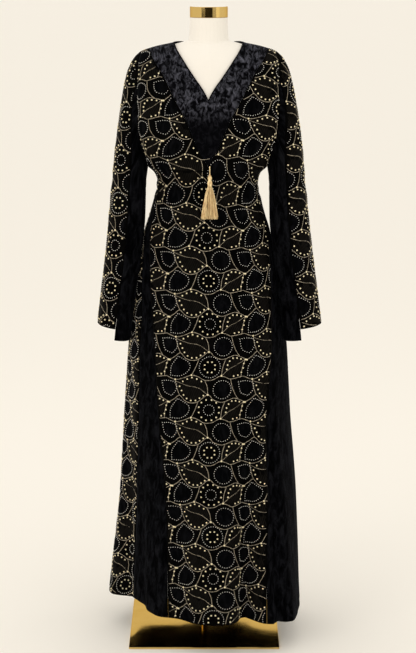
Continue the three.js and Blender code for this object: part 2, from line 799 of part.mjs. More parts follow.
// A closed run of rings with the same number of sides.
function run(rings) {
  const sides = rings[0].length;
  const faces = [];
  for (let i = 0; i + 1 < rings.length; i++)
    for (let j = 0; j < sides; j++) {
      const a = i * sides + j;
      const b = i * sides + ((j + 1) % sides);
      faces.push([a, b, b + sides], [a, b + sides, a + sides]);
    }
  const end = (rings.length - 1) * sides;
  for (let j = 1; j + 1 < sides; j++) faces.push([0, j + 1, j], [end, end + j, end + j + 1]);
  const mesh = new wasm.Mesh({
    numProp: 3,
    vertProperties: new Float32Array(rings.flat(2)),
    triVerts: new Uint32Array(faces.flat()),
  });
  return new wasm.Manifold(mesh);
}
function circle(x, y, z, radius, sides, start = 0) {
  return Array.from({ length: sides }, (_, j) => {
    const turnTo = start + (2 * Math.PI * j) / sides;
    return [x + radius * Math.cos(turnTo), y + radius * Math.sin(turnTo), z];
  });
}
function tasselHead() {
  const t = TASSEL;
  // height and radius from the strands up: collar, binding, bead and cord
  const profile = [
    [t.headBottom - 6, t.headRadius],
    [t.headBottom, t.headRadius],
    [t.headBottom + 5, 5.2],
    [t.headTop - 14, 4.6],
    [t.headTop - 13, 5.4],
    [t.headTop - 10, 5.2],
    [t.headTop - 2, 3],
    [t.headTop, t.cordRadius],
    [t.top, t.cordRadius],
  ];
  return run(profile.map(([z, r]) => circle(0, 0, z, r, t.sides)));
}
function strand(round, s) {
  const t = TASSEL;
  const root = t.headBottom - 4;
  const tip = t.bottom + ((s * 7) % STRAND.uneven);
  const way = (2 * Math.PI * (s + 0.37 * round.root)) / round.strands;
  const rings = [1, 0.72, 0.45, 0.2, 0].map((share) => {
    const far = round.root + (round.end - round.root) * share ** STRAND.spread;
    const half = STRAND.half + STRAND.wider * share ** STRAND.spread;
    const x = far * Math.cos(way);
    const y = far * Math.sin(way) * (1 - STRAND.flat * share) - STRAND.lean * share;
    return circle(x, y, root - (root - tip) * share, half, 4, way);
  });
  return run(rings);
}
{
  let tassel = tasselHead();
  for (const round of TASSEL_ROUNDS)
    for (let s = 0; s < round.strands; s++) tassel = tassel.add(strand(round, s));
  const mesh = tassel.getMesh();
  const geometry = new THREE.BufferGeometry();
  const positions = new THREE.Float32BufferAttribute(Array.from(mesh.vertProperties), 3);
  geometry.setAttribute("position", positions);
  geometry.setIndex(Array.from(mesh.triVerts));
  const clothFront = bodicePoint(-1, 0, 1)[1];
  const hung = clothFront - TASSEL.cordRadius - TASSEL.off;
  add("tassel", geometry.translate(TASSEL.x + LEAN * TASSEL.top, hung, 0), ...GOLD_THREAD);
}

export default group;
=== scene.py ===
import math

import bpy
import numpy as np
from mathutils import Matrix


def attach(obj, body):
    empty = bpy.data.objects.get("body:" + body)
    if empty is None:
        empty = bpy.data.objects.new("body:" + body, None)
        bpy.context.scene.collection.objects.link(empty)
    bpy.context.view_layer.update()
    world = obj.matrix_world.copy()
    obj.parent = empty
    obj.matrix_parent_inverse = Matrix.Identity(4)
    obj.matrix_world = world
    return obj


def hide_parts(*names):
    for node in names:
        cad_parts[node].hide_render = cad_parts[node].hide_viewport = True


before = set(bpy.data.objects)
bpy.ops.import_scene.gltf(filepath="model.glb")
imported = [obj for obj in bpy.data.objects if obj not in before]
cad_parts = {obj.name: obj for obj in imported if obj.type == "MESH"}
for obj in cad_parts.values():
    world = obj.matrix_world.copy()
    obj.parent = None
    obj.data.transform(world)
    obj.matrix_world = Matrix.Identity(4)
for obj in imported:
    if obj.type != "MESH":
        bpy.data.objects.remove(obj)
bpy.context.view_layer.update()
scene = bpy.context.scene

# The studio: seamless pale paper under a form that stands upright, lit by wide soft boxes.
# The camera stands a little above the shoulders and looks down at the dress.
CAMERA_PLACE = (0.0099, -5.1055, 1.7977)
CAMERA_PITCH = math.radians(10.9376)
LENS = 110.26
SENSOR = 36
# all shapes here are worked out in millimetres
METRES = 0.001
PAPER_SIZE = 400.0
PAPER_COLOUR = (0.92, 0.885, 0.82)
# half width, distance and height in millimetres
UNLIT_WALL = (4600, 6600, 4200)
UNLIT_DARK = (0.004, 0.003, 0.002)
UNLIT_LIGHT = (0.03, 0.022, 0.014)
SKY_COLOUR = (1.0, 0.965, 0.905, 1)
SKY_STRENGTH = 1.0
LIGHT_COLOUR = (1.0, 0.965, 0.92)
LIGHT_AIM = (0, 0, 0.9)
# name, place, size, power
SOFT_BOXES = (
    ("key", (-2.6, -3.4, 2.4), 1.8, 24),
    ("fill", (2.8, -3.2, 2.0), 2.4, 8),
    ("top", (0.0, -0.4, 4.2), 1.6, 5),
    ("rim_left", (-2.8, 1.8, 2.2), 1.2, 3),
    ("rim_right", (2.8, 1.8, 2.2), 1.2, 3),
)

camera_data = bpy.data.cameras.new("camera")
camera_data.lens = LENS
camera_data.sensor_width = SENSOR
camera_data.clip_end = 2 * PAPER_SIZE
camera = bpy.data.objects.new("camera", camera_data)
camera.location = CAMERA_PLACE
camera.rotation_euler = (math.pi / 2 - CAMERA_PITCH, 0, 0)
scene.collection.objects.link(camera)
scene.camera = camera
scene.view_settings.view_transform = "Standard"

world = bpy.data.worlds.new("studio")
world.use_nodes = True
sky = world.node_tree.nodes["Background"]
sky.inputs["Color"].default_value = SKY_COLOUR
sky.inputs["Strength"].default_value = SKY_STRENGTH
scene.world = world

for name, at, size, power in SOFT_BOXES:
    data = bpy.data.lights.new(name, "AREA")
    data.size = size
    data.energy = power
    data.color = LIGHT_COLOUR
    light = bpy.data.objects.new(name, data)
    light.location = at
    aim = np.subtract(LIGHT_AIM, at)
    tilt = math.atan2(math.hypot(aim[0], aim[1]), -aim[2])
    light.rotation_euler = (tilt, 0, math.atan2(aim[1], aim[0]) - math.pi / 2)
    scene.collection.objects.link(light)


def new_material(name, colour, roughness, metallic=0.0):
    """A material with its Principled shader; returns the material, its node tree and the shader."""
    material = bpy.data.materials.new(name)
    material.use_nodes = True
    tree = material.node_tree
    tree.nodes.clear()
    shader = tree.nodes.new("ShaderNodeBsdfPrincipled")
    output = tree.nodes.new("ShaderNodeOutputMaterial")
    tree.links.new(shader.outputs["BSDF"], output.inputs["Surface"])
    shader.inputs["Base Color"].default_value = (*colour, 1)
    shader.inputs["Roughness"].default_value = roughness
    shader.inputs["Metallic"].default_value = metallic
    return material, tree, shader


def feed(tree, source, target, socket):
    """Links a source, which is a (node, output name) pair, to an input of the target."""
    tree.links.new(source[0].outputs[source[1]], target.inputs[socket])


def node(tree, kind, inputs=(), **settings):
    """A node with its settings, and its inputs given as values or as sources."""
    made = tree.nodes.new(kind)
    for name, value in settings.items():
        setattr(made, name, value)
    for name, value in dict(inputs).items():
        if isinstance(value, tuple) and isinstance(value[0], bpy.types.Node):
            feed(tree, value, made, name)
        else:
            made.inputs[name].default_value = value
    return made


def noise(tree, scale, detail, **inputs):
    """A noise texture, as a source."""
    inputs.update(Scale=scale, Detail=detail)
    return node(tree, "ShaderNodeTexNoise", inputs), "Fac"


def two_tones(tree, shader, mask, dark, light):
    """The base colour runs from dark to light by the mask."""
    mix = node(tree, "ShaderNodeMix", {0: mask, 6: (*dark, 1), 7: (*light, 1)}, data_type="RGBA")
    feed(tree, (mix, 2), shader, "Base Color")


def bumped(tree, target, height, strength, distance):
    """The target's normal is bumped by the height; distance is in metres."""
    bump = node(tree, "ShaderNodeBump", {"Strength": strength, "Distance": distance, "Height": height})
    feed(tree, (bump, "Normal"), target, "Normal")


def mesh_piece(name, points, faces, material, uv=None):
    """A mesh object from points in millimetres; uv is the flat place of each, also in millimetres."""
    used, corners = np.unique([v for face in faces for v in face], return_inverse=True)
    ends = np.cumsum([len(face) for face in faces])[:-1]
    faces = [face.tolist() for face in np.split(corners, ends)]
    mesh = bpy.data.meshes.new(name)
    mesh.from_pydata((np.asarray(points, float)[used] * METRES).tolist(), [], faces)
    mesh.validate()
    if uv is not None:
        layer = mesh.uv_layers.new(name="flat_cloth")
        corners = np.zeros(len(mesh.loops), np.int32)
        mesh.loops.foreach_get("vertex_index", corners)
        flat = (np.asarray(uv, float) * METRES).astype(np.float32)
        layer.data.foreach_set("uv", flat[used][corners].ravel())
    mesh.polygons.foreach_set("use_smooth", [True] * len(mesh.polygons))
    mesh.materials.append(material)
    piece = bpy.data.objects.new(name, mesh)
    scene.collection.objects.link(piece)
    return piece


paper, tree, shader = new_material("seamless_paper", PAPER_COLOUR, 0.9)
bumped(tree, shader, noise(tree, 900, 2), 0.02, 0.001)
reach = PAPER_SIZE / METRES / 2
corners = [(-reach, -reach, 0), (reach, -reach, 0), (reach, reach, 0), (-reach, reach, 0)]
mesh_piece("paper_sweep", corners, [(0, 1, 2, 3)], paper)

# the unlit end of the room, behind the camera: it shows only as a dark band in polished metal
unlit, tree, shader = new_material("unlit_wall", (0.012, 0.010, 0.008), 0.9)
two_tones(tree, shader, noise(tree, 0.6, 3), UNLIT_DARK, UNLIT_LIGHT)
half, back, high = UNLIT_WALL
corners = [(-half, -back, 0), (half, -back, 0), (half, -back, high), (-half, -back, high)]
wall = mesh_piece("unlit_wall", corners, [(0, 1, 2, 3)], unlit)
wall.visible_camera = False
wall.visible_diffuse = False
wall.visible_shadow = False

# Pole, base plate and neck cap: polished brass-coloured steel, turned and cut, with a mirror finish.
# The plate lies on the floor and the pole stands in its middle.
GOLD = (0.74, 0.54, 0.21)
GOLD_DEEP = (0.62, 0.42, 0.13)
GOLD_AT_A_SLANT = (0.72, 0.57, 0.38, 1)
GOLD_ROUGHNESS = (0.07, 0.14)


def ranged(tree, value, low, high, start=0.0, end=1.0, kind="LINEAR"):
    """A value taken from the range low to high into the range start to end."""
    limits = {"From Min": low, "From Max": high, "To Min": start, "To Max": end}
    made = node(tree, "ShaderNodeMapRange", {"Value": value, **limits}, interpolation_type=kind)
    return made, "Result"


def own_places(tree):
    """A piece's own coordinates in metres, as a source."""
    return node(tree, "ShaderNodeTexCoord"), "Object"


def dress(names, material):
    """Gives CAD nodes their material."""
    for name in names:
        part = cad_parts[name]
        part.data.materials.clear()
        part.data.materials.append(material)


gold, tree, shader = new_material("polished_gold", GOLD, 0.09, metallic=1.0)
smear = noise(tree, 14, 5, Vector=own_places(tree), Distortion=0.6)
two_tones(tree, shader, smear, GOLD_DEEP, GOLD)
feed(tree, ranged(tree, smear, 0.35, 0.75, *GOLD_ROUGHNESS), shader, "Roughness")
shader.inputs["Specular Tint"].default_value = GOLD_AT_A_SLANT
dress(("pole", "base_plate", "neck_cap_band"), gold)

# Front panel: sheer black cloth with all-over chain stitch and beads, one flared piece from the
# shoulders to the hem, cut away for the yoke and sewn to the sleeves and the side gores.
LEAN = 0.0075
SEAM = 0.15
ARMPIT_Z = 1230
ARMPIT_ANGLE = 86
ARC_POWER = 0.8
BULGE = 62
CLOTH = 1.6
CLOTH_STEP = 6.0
# points that fall on the same one of these steps to the millimetre are joined
JOIN_STEPS = 20
# height, half width, front depth, back depth, roundness
RINGS = (
    (60, 253, 238, 222, 2.1),
    (120, 248, 234, 220, 2.1),
    (200, 242, 228, 216, 2.1),
    (320, 233, 219, 208, 2.1),
    (440, 225, 210, 203, 2.1),
    (560, 217, 201, 198, 2.12),
    (670, 211, 190, 190, 2.15),
    (770, 205, 178, 180, 2.15),
    (860, 194, 164, 166, 2.15),
    (940, 183, 151, 151, 2.2),
    (1010, 172, 140, 137, 2.2),
    (1066, 161, 130, 124, 2.2),
    (1110, 147, 120, 111, 2.2),
    (1150, 136, 110, 99, 2.2),
    (1172, 129.5, 106, 95, 2.2),
    (1196, 128.5, 106, 94, 2.2),
    (1218, 137, 118, 101, 2.2),
    (1230, 152, 127, 106, 2.3),
)
RING_COLUMN = {"half": 1, "front": 2, "back": 3, "power": 4}
# height, how far the skirt hangs to the viewer's right
SWAY = ((60, 2.5), (150, 4), (262, 7), (370, 9), (480, 7), (590, 4.5), (750, 4), (940, 1), (1066, 0))
# height, then the angle of each seam from the front centre
SEAMS = (
    (60, -27.3, -73, 34, 94),
    (230, -29.4, -70.5, 35.4, 94),
    (400, -32.4, -67, 38.3, 94),
    (650, -40.1, -60.5, 46.2, 94),
    (830, -48, -61, 57.5, 94),
    (1066, -67, -78, 73, 94),
    (1150, -79, -86, 79, 93),
    (1196, -83, -90, 83, 93),
    (1230, -86, -94, 86, 94),
)
SEAM_COLUMN = {"front_left": 1, "back_left": 2, "front_right": 3, "back_right": 4}
# angle, how far the hem stands out there
FOLDS = (
    (-180, 14), (-160, -16), (-140, 16), (-120, -14), (-98, 8), (-88, -4), (-76, -56), (-58, -58),
    (-44, -42), (-33, -30), (-22, -40), (-12, -22), (-4, -4), (6, 4), (14, 10), (19, -3), (25, -30),
    (29, -33), (33, 30), (37, 42), (43, 22), (48, 46), (58, 28), (74, 3), (96, -4), (118, 18),
    (140, -16), (160, 18), (180, 14),
)
FOLD_BOTTOM = 80
FOLD_TOP = 900
FOLD_POWER = 1.45
# angle, hem height
HEM = ((-180, 82), (-90, 88), (-66, 94), (-40, 84), (0, 80), (26, 84), (48, 76), (90, 86), (180, 82))
HEM_LEVEL = 82
HEM_FROM = 220
# share of the half width, shoulder height; then height, half width of the armhole
SHOULDER = ((0, 1566), (0.36, 1551), (0.54, 1543), (0.76, 1535), (0.93, 1526), (1, 1521))
ARMHOLE = ((1230, 152), (1262, 158), (1300, 169), (1350, 176), (1430, 178), (1490, 177), (1522, 172))
# arc over the shoulder, half width of the edge
YOKE_EDGE = (
    (1.04, 0), (6, 25), (13.2, 44), (19.5, 59), (27.1, 79), (35.9, 97), (46.1, 114), (58.6, 133),
    (74, 146), (90, 152),
)
EDGE_INSET = 0.22


def read(table, key, column=1):
    """Smooth reading of a table whose first column is the key."""
    knots = np.array([row[0] for row in table], float)
    values = np.array([row[column] for row in table], float)
    span = np.diff(knots)
    plain = np.diff(values) / span
    slopes = np.empty(len(knots))
    slopes[0], slopes[-1] = plain[0], plain[-1]
    before, after = plain[:-1], plain[1:]
    together = before * after > 0
    total = np.where(together, before + after, 1)
    slopes[1:-1] = np.where(together, 2 * before * after / total, 0)
    key = np.clip(key, knots[0], knots[-1])
    i = np.clip(np.searchsorted(knots, key, side="right") - 1, 0, len(span) - 1)
    t = (key - knots[i]) / span[i]
    return (
        (2 * t**3 - 3 * t**2 + 1) * values[i]
        + (t**3 - 2 * t**2 + t) * span[i] * slopes[i]
        + (3 * t**2 - 2 * t**3) * values[i + 1]
        + (t**3 - t**2) * span[i] * slopes[i + 1]
    )


def stacked(*parts):
    """Points made of their separate coordinates."""
    return np.stack(np.broadcast_arrays(*parts), -1)


def ring(z, name):
    return read(RINGS, z, RING_COLUMN[name])


def seam(name):
    """The line of a seam: its angle at each height."""
    return lambda z: read(SEAMS, z, SEAM_COLUMN[name])


def turned(angle):
    return (np.asarray(angle, float) + 180) % 360 - 180


def oval(angle, half, depth, power):
    """Distance from the axis to a rounded oval in one direction."""
    s = np.abs(np.sin(np.radians(angle))) / half
    c = np.abs(np.cos(np.radians(angle))) / depth
    return (s**power + c**power) ** (-1 / power)


def body_radius(angle, z):
    angle = turned(angle)
    depth = np.where(np.abs(angle) < 90, ring(z, "front"), ring(z, "back"))
    smooth = oval(angle, ring(z, "half"), depth, ring(z, "power"))
    low = np.maximum(0, (FOLD_TOP - z) / (FOLD_TOP - FOLD_BOTTOM))
    return smooth + read(FOLDS, angle) * low**FOLD_POWER


def body_point(angle, z):
    r = body_radius(angle, z)
    way = np.radians(angle)
    return stacked(r * np.sin(way) + LEAN * z + read(SWAY, z), -r * np.cos(way), z)


def bodice_point(side, share, arc):
    """A point of the bodice: side -1 front or 1 back, share of the half width, and the arc from
    the chest (0) to the shoulder (90)."""
    s = np.abs(share)
    base = ring(ARMPIT_Z, "front" if side < 0 else "back")
    power = ring(ARMPIT_Z, "power")
    depth = base * np.maximum(0, 1 - s**power) ** (1 / power)
    rise = np.sin(np.radians(arc)) ** ARC_POWER
    z = ARMPIT_Z + (read(SHOULDER, s) - ARMPIT_Z) * rise
    bulge = BULGE * s**3 * np.maximum(0, 4 * rise * (1 - rise)) ** 0.7
    drawn = depth * np.maximum(0, np.cos(np.radians(arc))) ** ARC_POWER
    y = drawn + bulge + SEAM * np.sin(np.radians(arc))
    return stacked(share * read(ARMHOLE, z) + LEAN * z, side * y, z)


def bodice_half(side, arc):
    """Half width of the bodice at an arc, which turns a half width into a share."""
    return read(ARMHOLE, bodice_point(side, 0.5, arc)[..., 2])


def share_of_angle(angle):
    half = ring(ARMPIT_Z, "half")
    r = oval(angle, half, ring(ARMPIT_Z, "front"), ring(ARMPIT_Z, "power"))
    return r * np.sin(np.radians(angle)) / half


EDGE_SHARE = float(share_of_angle(ARMPIT_ANGLE))


def soft_step(value, start, end):
    t = np.clip((value - start) / (end - start), 0, 1)
    return t * t * (3 - 2 * t)


def bell(value, middle, width):
    return np.exp(-(((value - middle) / width) ** 2))


def wave(value):
    """A wave that only stands out, from 0 to 1."""
    return 0.5 + 0.5 * np.sin(value)


# height, then how far up and down from it the crease reaches
WAIST_BAND = (1182, 34)
MIDDLE_BAND = (1176, 26)
BUST_BAND = (1292, 48)
ELBOW_BAND = (1185, 95)
# the same across: degrees from the front, and millimetres from the middle
WAIST_SIDE = (74, 30)
BUST_SIDE = (108, 34)
# from where to where the creases grow or fade: degrees, depth, distance from the middle, heights
FRONT_TURNS = (50, 80)
BUST_DEPTH = (30, 70)
BODY_ENDS = (142, 166)
ARM_STARTS = (205, 240)
ARM_ABOVE = (800, 860)
FLUTES_GROW = (1040, 240)
FOREARM_GROWS = (1150, 950)


def creases(points):
    """How far the cloth stands out in small creases: at the waist, below the arms, down the skirt
    and round the sleeves. It depends on the place alone, so neighbours stay together at seams."""
    x, y, z = points[..., 0] - LEAN * points[..., 2], points[..., 1], points[..., 2]
    angle = np.degrees(np.arctan2(x, -y))
    across = np.abs(x)
    body = 1 - soft_step(across, *BODY_ENDS)
    low = soft_step(z, *FLUTES_GROW)
    arm = soft_step(across, *ARM_STARTS) * soft_step(z, *ARM_ABOVE)
    waist = bell(z, *WAIST_BAND) * bell(np.abs(angle), *WAIST_SIDE)
    middle = bell(z, *MIDDLE_BAND) * (1 - soft_step(np.abs(angle), *FRONT_TURNS))
    bust = bell(z, *BUST_BAND) * bell(across, *BUST_SIDE) * soft_step(np.abs(y), *BUST_DEPTH)
    # how far each kind stands out, where it lies, and how it runs: places and angles by its spacing
    kinds = (
        (2.6, waist * body, z / 3.9 + 1.6 * np.sin(angle / 13) + np.where(x < 0, 0.0, 1.7)),
        (0.9, middle, angle / 3.1 + z / 21),
        (2.4, bust * body, (z + 0.62 * across) / 5.2 + 0.8 * np.sin(z / 19)),
        (2.6, low, angle / 3.7 + 1.5 * np.sin(z / 210) + 0.5),
        (1.6, low, angle / 2.1 - 1.1 * np.sin(z / 150 + 1)),
        (1.7, arm * bell(z, *ELBOW_BAND), (z + 0.8 * across + 0.35 * y) / 8.2 + 0.9 * np.sin(z / 41)),
        (1.5, arm * soft_step(z, *FOREARM_GROWS), across / 7.5 + y / 9 + 0.7 * np.sin(z / 60)),
    )
    return sum(high * where * wave(run) for high, where, run in kinds)


def unit(ways):
    return ways / np.maximum(np.linalg.norm(ways, axis=-1, keepdims=True), 1e-9)


def directions(points):
    """Unit directions square to a grid of points, rows running down and columns along."""
    return unit(np.cross(np.gradient(points, axis=0), np.gradient(points, axis=1)))


def creased(points):
    """A grid of points with its creases, and the grid's directions."""
    points = points + directions(points) * creases(points)[..., None]
    return points, directions(points)


def row_places(points):
    """Distance along each row of a grid from its first point."""
    steps = np.linalg.norm(np.diff(points, axis=1), axis=-1)
    return np.concatenate([np.zeros((len(points), 1)), np.cumsum(steps, axis=1)], axis=1)


def down_places(line):
    """Distance down a line of points from its first point."""
    return np.concatenate([[0], np.cumsum(np.linalg.norm(np.diff(line, axis=0), axis=1))])


def grid_faces(shape, start):
    """Faces over a grid of points whose first point has the number start."""
    ids = start + np.arange(shape[0] * shape[1]).reshape(shape)
    return np.stack([ids[:-1, :-1], ids[1:, :-1], ids[1:, 1:], ids[:-1, 1:]], -1).reshape(-1, 4)


def closed_wall(points, normals, faces, thickness):
    """Points and faces of a closed wall: the outer faces, the inner ones, and the rim between."""
    count = len(points)
    outer = []
    rim = {}
    for quad in faces:
        face = [int(v) for i, v in enumerate(quad) if v != quad[i - 1]]
        if len(face) < 3 or len(set(face)) < len(face):
            continue
        outer.append(face)
        for i, v in enumerate(face):
            if rim.pop((v, face[i - 1]), None) is None:
                rim[(face[i - 1], v)] = True
    inner = [[v + count for v in reversed(face)] for face in outer]
    edge = [[b, a, a + count, b + count] for a, b in rim]
    return np.concatenate([points, points - thickness * normals]), outer + inner + edge


def cloth_wall(grids):
    """A closed wall of cloth from grids of (points, directions, uv), joined where they meet."""
    points, normals, uv = (
        np.concatenate([part.reshape(-1, part.shape[-1]) for part in parts]) for parts in zip(*grids)
    )
    starts = np.cumsum([0] + [g[0][..., 0].size for g in grids])
    faces = np.concatenate([grid_faces(g[0].shape[:2], s) for g, s in zip(grids, starts)])
    keys = np.round(points * JOIN_STEPS).astype(np.int64)
    _, first, back = np.unique(keys, axis=0, return_index=True, return_inverse=True)
    back = back.ravel()
    total = np.zeros((len(first), 3))
    np.add.at(total, back, normals)
    made, faces = closed_wall(points[first], unit(total), back[faces], CLOTH)
    return made, faces, np.concatenate([uv[first], uv[first]])


def cloth_piece(name, grids, material):
    """A cut piece of cloth that stands for its CAD node."""
    points, faces, uv = cloth_wall(grids)
    piece = mesh_piece(name + "_cloth", points, faces, material, uv)
    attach(piece, "root")
    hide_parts(name)


LEVELS = np.linspace(ARMPIT_Z, HEM_LEVEL, int((ARMPIT_Z - HEM_LEVEL) / CLOTH_STEP) + 1)


def body_grid(left, right, columns):
    """Grid of body points between two seams: rows from the armpit down to the hem."""
    level = LEVELS[:, None]
    a, b = left(level), right(level)
    trim = np.degrees(1.1 * SEAM / body_radius(a, level))
    angle = a + trim + (b - a - 2 * trim) * np.linspace(0, 1, columns + 1)
    low = soft_step(level, HEM_FROM, HEM_LEVEL)
    return body_point(angle, level + (read(HEM, turned(angle)) - HEM_LEVEL) * low)


def bodice_rows(side, arcs, shares):
    """Rows over the bodice from the shoulder down; shares gives a row's shares of the half width."""
    return np.array([bodice_point(side, -side * shares(arc), arc) for arc in arcs[::-1]])


def whole_panel(side, left, right, columns, arcs):
    """The panel as woven, without its notch: rows from the shoulder to the hem."""
    share = share_of_angle(ARMPIT_ANGLE * np.linspace(-1, 1, 2 * columns + 1))
    bodice = bodice_rows(side, arcs[1:], lambda arc: share)
    return creased(np.concatenate([bodice, body_grid(left, right, 2 * columns)]))


def panel_down(centre, arcs):
    """Distance down a panel's centre line from the level of the armpit, less than 0 above it."""
    down = down_places(centre)
    return down - down[len(arcs) - 1]


def panel_grids(side, whole, columns, arcs, tip, notch):
    """The cut panel: two halves that share the centre line below the notch."""
    points, _ = whole
    down = panel_down(points[:, columns], arcs)
    steps = share_of_angle(ARMPIT_ANGLE * np.linspace(0, 1, columns + 1)) / EDGE_SHARE

    def beside_notch(arc):
        start = (read(notch, arc) + EDGE_INSET) / bodice_half(side, arc)
        return start + (EDGE_SHARE - start) * steps

    grids = []
    for hand in (-1, 1):
        cut = bodice_rows(side, arcs[arcs > tip], lambda arc: hand * beside_notch(arc))
        half = points[len(cut):, columns:] if hand > 0 else points[len(cut):, : columns + 1]
        made = np.concatenate([creased(cut[:, ::hand])[0], half])
        along = row_places(made)
        if hand < 0:
            along = along - along[:, -1:]
        grids.append((made, directions(made), stacked(along, -down[:, None])))
    return grids


# shared look of the cloths: a value that wanders over the cloth, long down the warp, and its bump
CLOTH_BUMP = 0.0015
LEAST_AMOUNT = 0.06


def flat_places(tree):
    """The places on the cloth laid flat, in metres, as a source."""
    return node(tree, "ShaderNodeUVMap", uv_map="flat_cloth"), "UV"


def product(tree, first, second):
    """Two sources multiplied, as a source."""
    return node(tree, "ShaderNodeMath", {0: first, 1: second}, operation="MULTIPLY"), "Value"


def cloth_group(name, fine, coarse, stretch, low=0.38, high=0.68):
    """A group whose Mask wanders over the cloth, as random tone on the sheer and as painted sheen on the
    velvets, and whose Normal holds the weave and the pile.
    """
    group = bpy.data.node_groups.new(name, "ShaderNodeTree")
    for socket, way, kind in (
        ("Amount", "INPUT", "Float"),
        ("Strength", "INPUT", "Float"),
        ("Mask", "OUTPUT", "Float"),
        ("Normal", "OUTPUT", "Vector"),
    ):
        group.interface.new_socket(socket, in_out=way, socket_type="NodeSocket" + kind)
    start = node(group, "NodeGroupInput")
    end = node(group, "NodeGroupOutput")
    long = node(group, "ShaderNodeMapping", {"Vector": flat_places(group), "Scale": (1, 1 / stretch, 1)})
    big = noise(group, coarse, 8, Vector=(long, "Vector"), Roughness=0.68, Distortion=0.7)
    small = noise(group, fine, 3, Vector=(long, "Vector"))
    edge = ranged(group, big, low, high, kind="SMOOTHSTEP")
    height = node(group, "ShaderNodeMath", {0: small, 1: 0.25, 2: edge}, operation="MULTIPLY_ADD")
    feed(group, product(group, edge, (start, "Amount")), end, "Mask")
    bumped(group, end, (height, "Value"), (start, "Strength"), CLOTH_BUMP)
    return group


def cloth_look(name, group, dark, light, roughness, amount, strength, sheen):
    """A cloth material: dark and light by the group's mask, its bump, and a sheen of fixed weight,
    tint and roughness; on the velvets the light tone is painted sheen. Where amount is a pair of
    heights, the mask grows from one to the other, so the light tone is painted stronger higher up as
    painted light from above."""
    material, tree, shader = new_material(name, dark, roughness)
    look = node(tree, "ShaderNodeGroup", {"Strength": strength}, node_tree=group)
    if isinstance(amount, tuple):
        split = node(tree, "ShaderNodeSeparateXYZ", {"Vector": flat_places(tree)})
        grows = ranged(tree, (split, "Y"), *amount, LEAST_AMOUNT, 1.0, "SMOOTHSTEP")
        feed(tree, grows, look, "Amount")
    else:
        look.inputs["Amount"].default_value = amount
    two_tones(tree, shader, (look, "Mask"), dark, light)
    feed(tree, (look, "Normal"), shader, "Normal")
    for socket, value in zip(("Weight", "Tint", "Roughness"), sheen):
        shader.inputs["Sheen " + socket].default_value = value
    shader.inputs["Specular IOR Level"].default_value = 0.01
    return material


weave = cloth_group("sheer_weave", fine=2600, coarse=46, stretch=3.0)
ground = cloth_look(
    "sheer_ground", weave, (0.0005, 0.0005, 0.0005), (0.0024, 0.0022, 0.0019),
    roughness=0.7, amount=0.8, strength=0.12, sheen=(0.02, (0.5, 0.46, 0.42, 1), 0.4),
)

FRONT_COLUMNS = 28
YOKE_TIP = 1.04
FRONT_ARCS = np.concatenate([[0], np.linspace(YOKE_TIP, 90, 46)])
front_whole = whole_panel(-1, seam("front_left"), seam("front_right"), FRONT_COLUMNS, FRONT_ARCS)
front_grids = panel_grids(-1, front_whole, FRONT_COLUMNS, FRONT_ARCS, YOKE_TIP, YOKE_EDGE)
cloth_piece("front_panel", front_grids, ground)

# Back panel: the same cloth as the front, cut wider, with the neck band set into its top.
# It hangs in soft flutes from below the waist.
BACK_COLUMNS = 40
BAND_TIP = 47.1
BAND_EDGE = ((47.1, 0), (49, 40), (55, 80), (66, 120), (78, 142), (90, 152))
BACK_ARCS = np.concatenate([np.linspace(0, BAND_TIP, 22), np.linspace(BAND_TIP, 90, 24)[1:]])
back_right_seam = seam("back_right")
back_left_seam = seam("back_left")
back_whole = whole_panel(1, back_right_seam, lambda z: 360 + back_left_seam(z), BACK_COLUMNS, BACK_ARCS)
back_grids = panel_grids(1, back_whole, BACK_COLUMNS, BACK_ARCS, BAND_TIP, BAND_EDGE)
cloth_piece("back_panel", back_grids, ground)

# Side gores: black velvet let in from the armpit to the hem, narrow on the left and wider on the
# right, where the skirt turns back in a deep fold.
GORE_COLUMNS = 20
# painted sheen: the nap group's mask lays pale blue-grey streaks down the warp in the velvets' base colour
nap_and_painted_sheen = cloth_group("velvet_nap_and_painted_sheen", fine=1500, coarse=62, stretch=2.4, low=0.40, high=0.70)
velvet = cloth_look(
    "black_velvet_painted_sheen", nap_and_painted_sheen, (0.0003, 0.0003, 0.0005), (0.0080, 0.0084, 0.0105),
    roughness=0.85, amount=0.9, strength=0.6, sheen=(0.025, (0.5, 0.55, 0.7, 1), 0.3),
)
for name, left, right, flat in (
    ("side_gore_left", back_left_seam, seam("front_left"), (0.17, 1.17)),
    ("side_gore_right", seam("front_right"), back_right_seam, (0.30, 1.18)),
):
    points, normals = creased(body_grid(left, right, GORE_COLUMNS))
    uv = stacked(row_places(points), LEVELS[:, None])
    cloth_piece(name, [(points, normals, uv)], velvet)

# Yoke and neck band: crushed velvet, a deep V in front that meets the band behind on the shoulders.
# Their pile is pressed in all directions; its pale patches are painted sheen, stronger higher up as painted
# light from above.
NECK_TIP = 26.3
NECK_EDGE = ((26.3, 0), (31.9, 13.5), (39.8, 34.5), (49.2, 54.5), (61.2, 73), (71.9, 82.5), (90, 89))
BACK_NECK_TIP = 63.2
BACK_NECK_EDGE = ((63.2, 0), (66, 30), (73, 54), (80.9, 73), (90, 89))
COLLAR_COLUMNS = 14
TIP_HALF = 1.3


def collar_grids(side, arcs, neck_tip, outer_edge, inner_edge, nudge):
    """Both halves of a collar piece between its outer edge and the neck."""
    steps = np.linspace(0, 1, COLLAR_COLUMNS + 1)

    def across_collar(arc):
        half = bodice_half(side, arc)
        inner = read(inner_edge, arc) / half if arc > neck_tip else 0.0
        outer = max(TIP_HALF, read(outer_edge, arc - nudge) - EDGE_INSET) / half
        return inner + (outer - inner) * steps

    grids = []
    for hand in (-1, 1):
        points = bodice_rows(side, arcs, lambda arc: hand * across_collar(arc))
        points, normals = creased(points[:, ::hand])
        grids.append((points, normals, stacked(-side * points[..., 0], points[..., 2])))
    return grids
